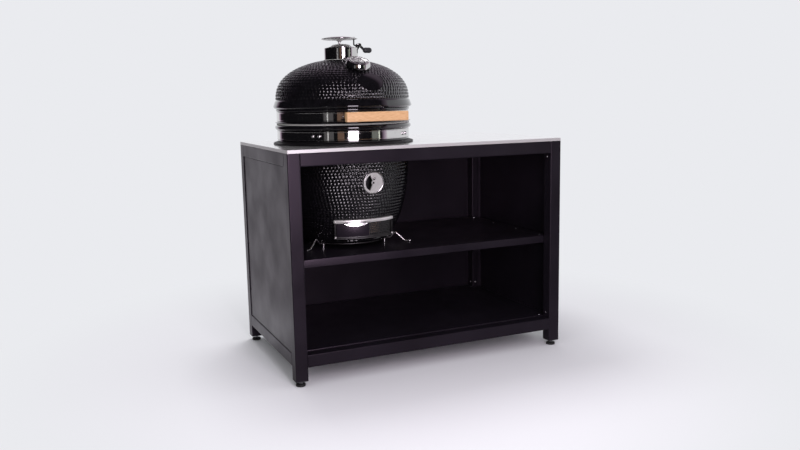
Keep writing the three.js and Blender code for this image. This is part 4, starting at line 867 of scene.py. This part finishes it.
def make_draft():
    r0, r1, low, high = DRAFT_IN, DRAFT_OUT, DRAFT_TOP - DRAFT_H, DRAFT_TOP
    ledge = [(r0, high - 13.8), (r1 - 3.4, high - 13.8), (r1 - 3.4, high - 9.8), (r1 + 0.6, high - 9.6),
             (r1 + 1.6, high - 8), (r1 + 0.2, high - 0.6), (r0, high)]
    ledge = swept(fillet(ledge, [0, 0.4, 0.4, 1, 1.6, 2, 0], 3), -32, 32, 48)
    build("draft_ledge", ledge, "table", PLATE, "draft_frame")
    sill = [(r0, low), (r1 + 1, low), (r1 + 1.6, low + 1.2), (r1 - 0.6, low + 6), (r1 - 3.4, low + 6.4),
            (r1 - 3.4, low + 9.9), (r0, low + 9.9)]
    sill = swept(fillet(sill, [0, 1, 1, 1, 0.4, 0.4, 0], 3), -32, 32, 48)
    jambs = [arc_sheet(r0, r1 - 0.6, a, a + 1.5, low + 9, high - 13, 3, 0.5) for a in (-31.6, 30.1)]
    # The sill and jambs are near-black steel: painted shade.
    build("draft_sill", join(sill, *jambs), "table", DARK_STEEL)
    lugs = [bolt_head(a, z, r1 + 0.2, 4.2, 3.8) for a in (-30.8, 30.8) for z in (low + 8, high - 8)]
    build("draft_frame_screws", join(*lugs), "table", PLATE)
    hole_low, hole_high = low + 10, high - 14
    door_low, door_high, turn = hole_low - 2.2, hole_high + 2.1, DRAFT_TURN
    door = arc_sheet(236.3, 238.3, -turn, 2.3, door_low, door_high, 40, 0.5)
    build("draft_door_panel", door, "door", PAINT, "draft_door")
    lip_top, middle = high - 9.4, -11.2
    web = arc_sheet(238, r1 + 3, middle - 5.6, middle + 5.6, lip_top - 2.5, lip_top, 12, 0.4)
    build("draft_door_lip", join(draft_lip(lip_top, middle, 11.3), web), "door", SATIN)
    screen = arc_sheet(233.3, 234.3, -2.3, turn, door_low, door_high, 40, 0.2)
    # The spark screen is near-black steel: painted shade of the opening behind the door.
    screen = build("spark_screen_sheet", screen, "screen", DARK_STEEL, "spark_screen", slot="brushed_steel")
    hole, columns, rows = prism(circle(2.6, 12), -4, 4), 14, 7
    holes = []
    for i in range(columns):
        for j in range(rows):
            a = -0.8 + 29.2 * (i + 0.5 + 0.5 * (j % 2)) / (columns + 0.5)
            z = hole_low + 2 + (hole_high - hole_low - 4) * (j + 0.5) / rows
            holes.append(moved(hole, on_wall(a, 234, z)))
    cut(screen, join(*holes))


# ---------------- wire stand

def make_stand():
    wire_r, rest, base = 4, SHELF_Z - TABLE_H + GAP, body_at(-BODY_DEPTH)
    top, foot, ring_r = -BODY_DEPTH - GAP - wire_r, rest + wire_r, base - 15.7
    build("kamado_stand_hoop", tube(ring_path(ring_r, top, 96), wire_r, 16), "table", DARK_STEEL)
    rods, tips = [], []
    for bearing in (-56, 56, 124, 236):
        a = radians(bearing - 90)

        def at(r, z):
            return (r * cos(a), r * sin(a), z)
        bends = [at(ring_r - 15, top), at(base + 8, top), at(base + 32, rest + 40.7), at(base + 73, foot),
                 at(base + 96, foot)]
        rods += [tube(bent_path(bends, 7, 8), wire_r, 16, 2.0), tube([at(ring_r, rest), at(ring_r, top)], 5, 20)]
        tips.append(tube([at(base + 84, foot), at(base + 98, foot)], 5.2, 16, 2.5))
    build("kamado_stand_wire", join(*rods), "table", SATIN, "kamado_stand")
    build("kamado_stand_tips", join(*tips), "table", SATIN)


# ---------------- table

POST_X_AT, POST_Y_AT = (TABLE_W - TUBE) / 2, (TABLE_D - TUBE) / 2
INNER_X, INNER_Y = TABLE_W / 2 - TUBE - GAP, TABLE_D / 2 - TUBE - GAP
CORNERS = [("front_left", -1, -1), ("front_right", 1, -1), ("rear_left", -1, 1), ("rear_right", 1, 1)]
FACING_LEFT = Matrix(((0, 0, 1), (1, 0, 0), (0, 1, 0)))
FACING_RIGHT = Matrix(((0, 0, -1), (1, 0, 0), (0, 1, 0)))
FACING_BACK = Matrix(((1, 0, 0), (0, 0, -1), (0, 1, 0)))
FACING_UP = Matrix(((1, 0, 0), (0, 1, 0), (0, 0, -1)))


def square_tube(length):
    """A square steel tube along Z, open at its ends."""
    outer, inner = TUBE / 2, TUBE / 2 - 2
    ends = [(outer - 0.4, 3.7, 0), (outer, 4, 0.5), (outer, 4, length - 0.5), (outer - 0.4, 3.7, length),
            (inner + 0.4, 2.4, length), (inner, 2, length - 0.4), (inner, 2, 0.4), (inner + 0.4, 2.4, 0)]
    loops = []
    for half, r, z in ends:
        outline, flat = rect(half, half, r), []
        for a, b in zip(outline, outline[1:] + outline[:1]):
            flat.append(a)
            if dist(a, b) > half:
                flat += [(a[0] + (b[0] - a[0]) * t, a[1] + (b[1] - a[1]) * t) for t in (0.03, 0.97)]
        loops.append(level(flat, z))
    return loft(loops, closed=True)


def tray(outline, depth, sheet=1.5, fold=2.5):
    """A folded sheet with its face at level 0 and its flanges upwards. outline(inset) is its rounded outline."""
    turns = np.radians(np.linspace(0, 90, 5))
    line = [(fold + 0.6, 0)] + [(fold * (1 - sin(a)), fold * (1 - cos(a))) for a in turns]
    line += [(0, depth - 0.4), (0.4, depth), (sheet - 0.4, depth), (sheet, depth - 0.4)]
    inner = fold - sheet
    line += [(fold - inner * sin(a), fold - inner * cos(a)) for a in turns[::-1]] + [(fold + 0.6, sheet)]
    return loft([level(outline(inset), z) for inset, z in line])


def plain(half_x, half_y):
    return lambda inset: rect(half_x - inset, half_y - inset, max(0.5, 3 - inset))


def notched(inset):
    """The middle shelf's outline, with its rear corners cut out round the posts."""
    x, front, back = 578.7 - inset, -314.7 + inset, 343.7 - inset
    notch_x, notch_y = INNER_X - inset, INNER_Y - inset
    corners = [(-x, front), (x, front), (x, notch_y), (notch_x, notch_y), (notch_x, back), (-notch_x, back),
               (-notch_x, notch_y), (-x, notch_y)]
    return fillet(corners, max(0.5, 3 - inset), 4)


def screws(spots):
    """Round screw heads with a socket, each at a place and facing a way."""
    r, top = 4.5, 2.4
    dome = domed(r, 0.5, top, (0, 20, 40, 60))
    head = lathe([(0, -0.8), (r, -0.8), *dome, (2.1, top), (1.9, top - 0.2), (1.9, 0.9), (0, 0.9)], 24)
    return join(*[moved(head, Vector(way).to_track_quat("Z", "Y").to_matrix(), place) for place, way in spots])


def coated(name, kind, shape, place):
    build(name + kind, shape, "table", PAINT, name, place)


def make_table():
    for name, sx, sy in CORNERS:
        post = square_tube(FRAME_TOP - POST_LIFT)
        coated("post_" + name, "_tube", post, (POST_X_AT * sx, POST_Y_AT * sy, POST_LIFT))
    across = moved(square_tube(2 * INNER_X), turned(90, "Y"), (-INNER_X, 0, 0))
    along = moved(square_tube(2 * INNER_Y), turned(-90, "X"), (0, -INNER_Y, 0))
    for height, z in (("bottom", RAIL_TOP - TUBE / 2), ("top", FRAME_TOP - TUBE / 2)):
        for side, rail, x, y in (("front", across, 0, -POST_Y_AT), ("rear", across, 0, POST_Y_AT),
                                 ("left", along, -POST_X_AT, 0), ("right", along, POST_X_AT, 0)):
            coated(f"{height}_rail_{side}", "_tube", rail, (x, y, z))
    low, high = RAIL_TOP + GAP, FRAME_TOP - TUBE - GAP
    middle, x, y = (low + high) / 2, TABLE_W / 2 - 3, TABLE_D / 2 - 3
    panel = tray(plain(INNER_Y, (high - low) / 2), 18)
    coated("side_panel_left", "_sheet", moved(panel, FACING_LEFT), (-x, 0, middle))
    coated("side_panel_right", "_sheet", moved(panel, FACING_RIGHT), (x, 0, middle))
    panel = tray(plain(INNER_X, (high - low) / 2), 18)
    coated("back_panel", "_sheet", moved(panel, FACING_BACK), (0, y, middle))
    deck = tray(plain(INNER_X, INNER_Y), 25, 2, 3.5)
    coated("bottom_shelf", "_sheet", moved(deck, FACING_UP), (0, 0, BOTTOM_Z))
    coated("middle_shelf", "_sheet", moved(tray(notched, 31, 2, 3.5), FACING_UP), (0, 0, SHELF_Z))
    spots = []
    for _, sx, sy in CORNERS:
        spots += [((550 * sx, 337 * sy, z), (-sx, 0, 0)) for z in (829, 146.5)]
        spots += [((565 * sx, 315 * sy, 148), (0, -sy, 0)), ((538 * sx, 303 * sy, BOTTOM_Z), (0, 0, 1))]
    spots += [((545 * sx, y, SHELF_Z), (0, 0, 1)) for sx in (-1, 1) for y in (-290, -100, 100, 290)]
    build("table_screws", screws(spots), "table", ZINC, home=FLOOR)


def make_worktop():
    home, hole, sheet = (0, 0, TABLE_H), 283.5, 1.5
    x, y, low = TABLE_W / 2, TABLE_D / 2, FRAME_TOP + GAP - TABLE_H
    top = prism(rect(x, y, 4), low, 0, 1.2, 3, [circle(hole, 160, KAMADO_X)])
    under = prism(rect(x - sheet, y - sheet), -20, -sheet, holes=[circle(hole + sheet, 160, KAMADO_X)])
    skin = build("worktop_sheet", top, "table", LIGHTENED_WORKTOP_STEEL, "worktop_skin", home)
    cut(skin, under, home=home)
    # The side faces take the darker copy of the steel: painted shade on the edges.
    skin.data.materials.append(DIMMED_EDGE_STEEL)
    for face in skin.data.polygons:
        face.material_index = int(abs(face.normal.z) < 0.5)
    skin.data.set_sharp_from_angle(angle=radians(8))


def make_feet():
    pad = lathe(to_axis([(0, 0), (10, 0), (19, 0), (19, 9), (9.2, 10), (0, 10)], [0, 1.2, 2.5, 0], 4), 48)
    stem = lathe([(0, 21.5), (5, 21.5), (5, 48.4), (4.4, 49), (0, 49)], 32)
    nut = join(prism(circle(9, 6), 9.8, 21.9, 0.7), stem)
    bore, outer, inner = [circle(5.3, 32)], TUBE / 2, TUBE / 2 - 2 - GAP
    lid = prism(rect(outer, outer, 4), 22.2, 24.7, 0.6, 2, bore)
    plug = join(lid, prism(rect(inner, inner, 2), 24, 49, 0.6, 2, bore))
    for name, sx, sy in CORNERS:
        place, foot = (POST_X_AT * sx, POST_Y_AT * sy, 0), "foot_" + name
        build("foot_pad_" + name, pad, foot, RUBBER, "levelling_" + foot, place)
        build("foot_nut_" + name, nut, foot, ZINC, home=place)
        build("plug_" + name, plug, "table", PLASTIC, "post_plug_" + name, place)


# ---------------- hinge

HINGE_Y, HINGE_Z, EYE_R = 315.0, 74.2, 12.0


def hinge_bar(x0, x1, low, high):
    """A flat arm from a strip on the band to an eye round the hinge pin."""
    wall = sqrt((STRIP_IN + 2) ** 2 - (max(abs(x0), abs(x1)) - 3) ** 2)

    def tangent(z, side):
        dy, dz = wall - HINGE_Y, z - HINGE_Z
        return atan2(dz, dy) + side * acos(EYE_R / hypot(dy, dz))
    start, end = tangent(high, -1), tangent(low, 1)
    while end > start:
        end -= 2 * pi
    outline = [(wall, low), (wall, high)] + arc(EYE_R, np.linspace(start, end, 28), HINGE_Y, HINGE_Z)
    return moved(prism(outline, x0, x1, 0.7, 2, [circle(5.3, 32, HINGE_Y, HINGE_Z)]), FACING_LEFT)


def make_hinge():
    pin = (0, HINGE_Y, HINGE_Z)
    for name, body, low, half, bars in (
            ("lower", "table", BASE_BAND + 3, 16.47, [(-70.6, -64.6), (-4, 4), (64.6, 70.6)]),
            ("upper", "lid", DOME_BAND + 3, 15.05, [(-64, -58), (58, 64)])):
        high = low + BAND_H - 6
        strip = arc_sheet(STRIP_IN, STRIP_IN + 4, 180 - half, 180 + half, low, high, 40, 1.2)
        arms = [hinge_bar(x0, x1, low, high) for x0, x1 in bars]
        build(f"hinge_{name}_plate", join(strip, *arms), body, PAINT, f"hinge_{name}_bracket")
        bolts = [bolt_head(180 + a, (low + high) / 2, STRIP_IN + 3.8, 5, 3.4) for a in (-7.5, 7.5)]
        build(f"hinge_{name}_bolts", join(*bolts), body, ZINC)
    axle = lathe(mirrored([(0, 74.9), (8, 74.9), (9, 73.8), (9, 71.6), (8.4, 70.9), (5, 70.9)]), 40)
    build("hinge_axle", moved(axle, turned(90, "Y"), pin), "table", ZINC, "hinge_pin")
    coil_r, coils = 11, 7
    for name, start, end in (("right", 4.3, 57.7), ("left", -57.7, -4.3)):
        path = [(start, coil_r, 0)]
        for t in np.linspace(0, 1, 24 * coils + 1):
            a = 2 * coils * pi * t
            path.append((start + 4 + (end - start - 8) * t, coil_r * cos(a), coil_r * sin(a)))
        coil = tube(path + [(end, coil_r, 0)], 2, 12)
        build(f"hinge_coil_{name}", moved(coil, offset=pin), "table", ZINC, f"hinge_spring_{name}")


# ---------------- fire parts

def half_chord(radius, at):
    return sqrt(radius * radius - at * at)


def make_fire():
    bowl = [(130, -377.7), (150.4, -377.7), (195, -290), (195, -140.7), (175, -140.7), (175, -298), (130, -298)]
    bowl = build("fire_bowl_clay", lathe(fillet(bowl, 3, 3), 128), "table", FIRECLAY, "fire_bowl")
    cut(bowl, swept(oblong(100, 200, -363, -314), -0.3, 28, 12))
    wall = fillet([(175, -140.4), (195, -140.4), (236, -100.4), (236, 40), (216, 40), (216, -100.4)], 3, 3)
    bricks = [swept(wall, 60 * k + 0.2, 60 * k + 59.8, 20) for k in range(6)]
    build("fire_ring_bricks", join(*bricks), "table", FIRECLAY, "fire_ring")
    slits = [(k * 26.8, rect(4.5, half_chord(147.4, k * 26.8), 4.4)) for k in range(-5, 6)]
    slits = [[(x + u, v) for u, v in slit] for x, slit in slits]
    coal = prism(circle(165.4, 128), -297.7, -287.7, 1.2, 2, slits)
    build("charcoal_grate_cast", coal, "table", IRON, "charcoal_grate")
    z, rim, rod = 44.3, 222.0, 2.6
    rods = [tube(ring_path(rim, z, 144), 4, 14)]
    for k in range(-13, 14):
        x = k * 16.1
        y = half_chord(rim, x)
        rods.append(tube([(x, -y, z), (x, y, z)], rod, 10))
    for y in (-95, 95):
        x = half_chord(rim, y)
        rods.append(tube([(-x, y, z - 1.2), (x, y, z - 1.2)], rod, 10))
    build("cooking_grate_rods", join(*rods), "table", BRUSHED, "cooking_grate")
    top = CHIMNEY_TOP - 3.3
    grille = prism(circle(67.2, 96), top - 3, top, 0.5, 2, VENTS)
    build("vent_grille_cast", grille, "lid", IRON, "vent_grille")


# ---------------- studio

BACK = (0.823, 0.831, 0.863)
FLOOR_TONE = (0.90, 0.905, 0.935)
BRIGHT_SIDE = (0.788, 0.616, 0.0)
ROOM = [(0.0, (0.006, 0.0056, 0.007)), (0.45, (0.02, 0.015, 0.02)), (0.62, (0.30, 0.22, 0.30)),
        (0.84, (0.62, 0.54, 0.62)), (0.92, BACK)]
AMBIENT = 0.55


def area(name, place, target, size, glow, color=(1, 1, 1), glossy=True):
    """A soft box of a given brightness, which the camera doesn't see; only a glossy one shows in reflections."""
    data = bpy.data.lights.new(name, "AREA")
    data.shape = "RECTANGLE"
    data.size, data.size_y = size
    data.energy = glow * pi * size[0] * size[1]
    data.color = color
    lamp = placed(name, data)
    lamp.location = place
    lamp.rotation_euler = (Vector(target) - Vector(place)).to_track_quat("-Z", "Y").to_euler()
    lamp.visible_camera, lamp.visible_glossy = False, glossy


def math_node(nt, kind, a, b):
    return node(nt, "Math", {0: a, 1: b}, operation=kind, use_clamp=kind == "MAXIMUM").outputs[0]


def blended(nt, factor, a, b):
    return node(nt, "Mix", {"Factor": factor, "A": a, "B": b}, data_type="RGBA").outputs["Result"]


def mixed(nt, factor, a, b):
    return node(nt, "MixShader", {0: factor, 1: a.outputs[0], 2: b.outputs[0]})


def make_world():
    """A pale background, which metal and glass see behind the object, with a dark room on the camera's side."""
    world = bpy.data.worlds.new("studio")
    bpy.context.scene.world = world
    world.use_nodes = True
    nt = world.node_tree
    path, way = node(nt, "LightPath").outputs, node(nt, "TexCoord").outputs["Generated"]
    side = node(nt, "VectorMath", {0: way, 1: BRIGHT_SIDE}, operation="DOT_PRODUCT").outputs["Value"]
    height = math_node(nt, "ABSOLUTE", node(nt, "SeparateXYZ", {0: way}).outputs["Z"], 0.0)
    cove = mapped(nt, height, 0.36, 0.70, 1.0, 0.68, "SMOOTHSTEP")
    room = ramp(nt, math_node(nt, "MULTIPLY", mapped(nt, side, 0.0, 0.42), cove), ROOM)
    shiny = math_node(nt, "MAXIMUM", path["Is Glossy Ray"], path["Is Transmission Ray"])
    lit = blended(nt, shiny, (AMBIENT, AMBIENT, AMBIENT * 1.02, 1), room)
    wire(nt, nt.nodes["Background"].inputs["Color"], blended(nt, path["Is Camera Ray"], lit, (*BACK, 1)))


def make_floor():
    """A pale floor that keeps the object's shadow near it and runs into the background further off; in reflections
    ahead of the object it is painted dark.
    """
    me = bpy.data.meshes.new("studio_floor")
    me.from_pydata(level(rect(40.0, 40.0), 0), [], [(0, 1, 2, 3)])
    m = surface("studio_floor", FLOOR_TONE, 0.95, more={"Specular IOR Level": 0.0})
    nt = m.node_tree
    path, place = node(nt, "LightPath").outputs, node(nt, "TexCoord").outputs["Object"]
    length = node(nt, "VectorMath", {0: place}, operation="LENGTH").outputs["Value"]
    ahead = mapped(nt, node(nt, "SeparateXYZ", {0: place}).outputs["Y"], 0.3, -0.5)
    # Painted shade in reflections: glossy rays see the floor ahead of the object as dark grey, though it is pale to
    # the camera.
    dark_in_reflections = node(nt, "BsdfDiffuse", {"Color": (0.25, 0.24, 0.25, 1)})
    glow = node(nt, "Emission", {"Color": (*BACK, 1)})
    away = mixed(nt, path["Is Camera Ray"], node(nt, "BsdfTransparent"), glow)
    near = mixed(nt, math_node(nt, "MULTIPLY", path["Is Glossy Ray"], ahead), nt.nodes["Principled BSDF"], dark_in_reflections)
    seen = mixed(nt, mapped(nt, length, 0.85, 1.8, ease="SMOOTHSTEP"), near, away)
    wire(nt, nt.nodes["Material Output"].inputs["Surface"], seen.outputs[0])
    me.materials.append(m)
    placed("studio_floor", me)


def studio():
    bpy.context.scene.view_settings.view_transform = "Standard"
    cam = bpy.data.cameras.new("camera")
    cam.lens, cam.sensor_width = 36.459, 36.0
    view = placed("camera", cam)
    view.location = (-1.432937, -3.229893, 1.099379)
    view.rotation_euler = [radians(a) for a in (80.88746, 1.10046, -24.22679)]
    bpy.context.scene.camera = view
    make_world()
    make_floor()
    aim = (-0.25, 0, 1.0)
    area("front_box", (-0.46, -2.9, 1.25), (-0.35, 0, 1.1), (0.80, 1.8), 9.4, (1.0, 0.88, 1.0))
    area("fill_box", (-0.6, -2.4, 2.6), (-0.2, 0, 0.8), (0.9, 0.9), 2.5, (1.0, 0.97, 1.0), False)
    area("left_strip", (-2.15, -1.9, 1.2), aim, (0.05, 1.4), 1.2)
    area("left_glow", (-2.1, -1.95, 1.2), aim, (0.75, 1.4), 0.10, (1.0, 0.95, 0.98))
    area("warm_glow", (-1.35, -2.45, 1.2), aim, (0.5, 1.4), 0.16, (1.0, 0.60, 0.42))
    area("right_strip", (1.43, -1.99, 1.1), aim, (0.09, 1.5), 1.3, (0.95, 1.0, 0.86))
    area("right_glow", (1.25, -2.35, 1.1), aim, (0.55, 1.1), 0.20, (0.95, 1.0, 0.90))
    area("top_box", (-0.1, 1.0, 3.4), (-0.1, -0.3, 0), (1.2, 1.2), 7.5, glossy=False)
    area("back_box", (0.7, 2.3, 2.7), (0, 0, 0.6), (1.6, 1.2), 0.9, glossy=False)


for make in (make_dome, make_base, make_bands, make_handle, make_chimney, make_damper, make_rain_cap, make_lever,
             make_thermometer, make_port, make_draft, make_stand, make_table, make_worktop, make_feet, make_hinge,
             make_fire, dress_solids, studio):
    make()
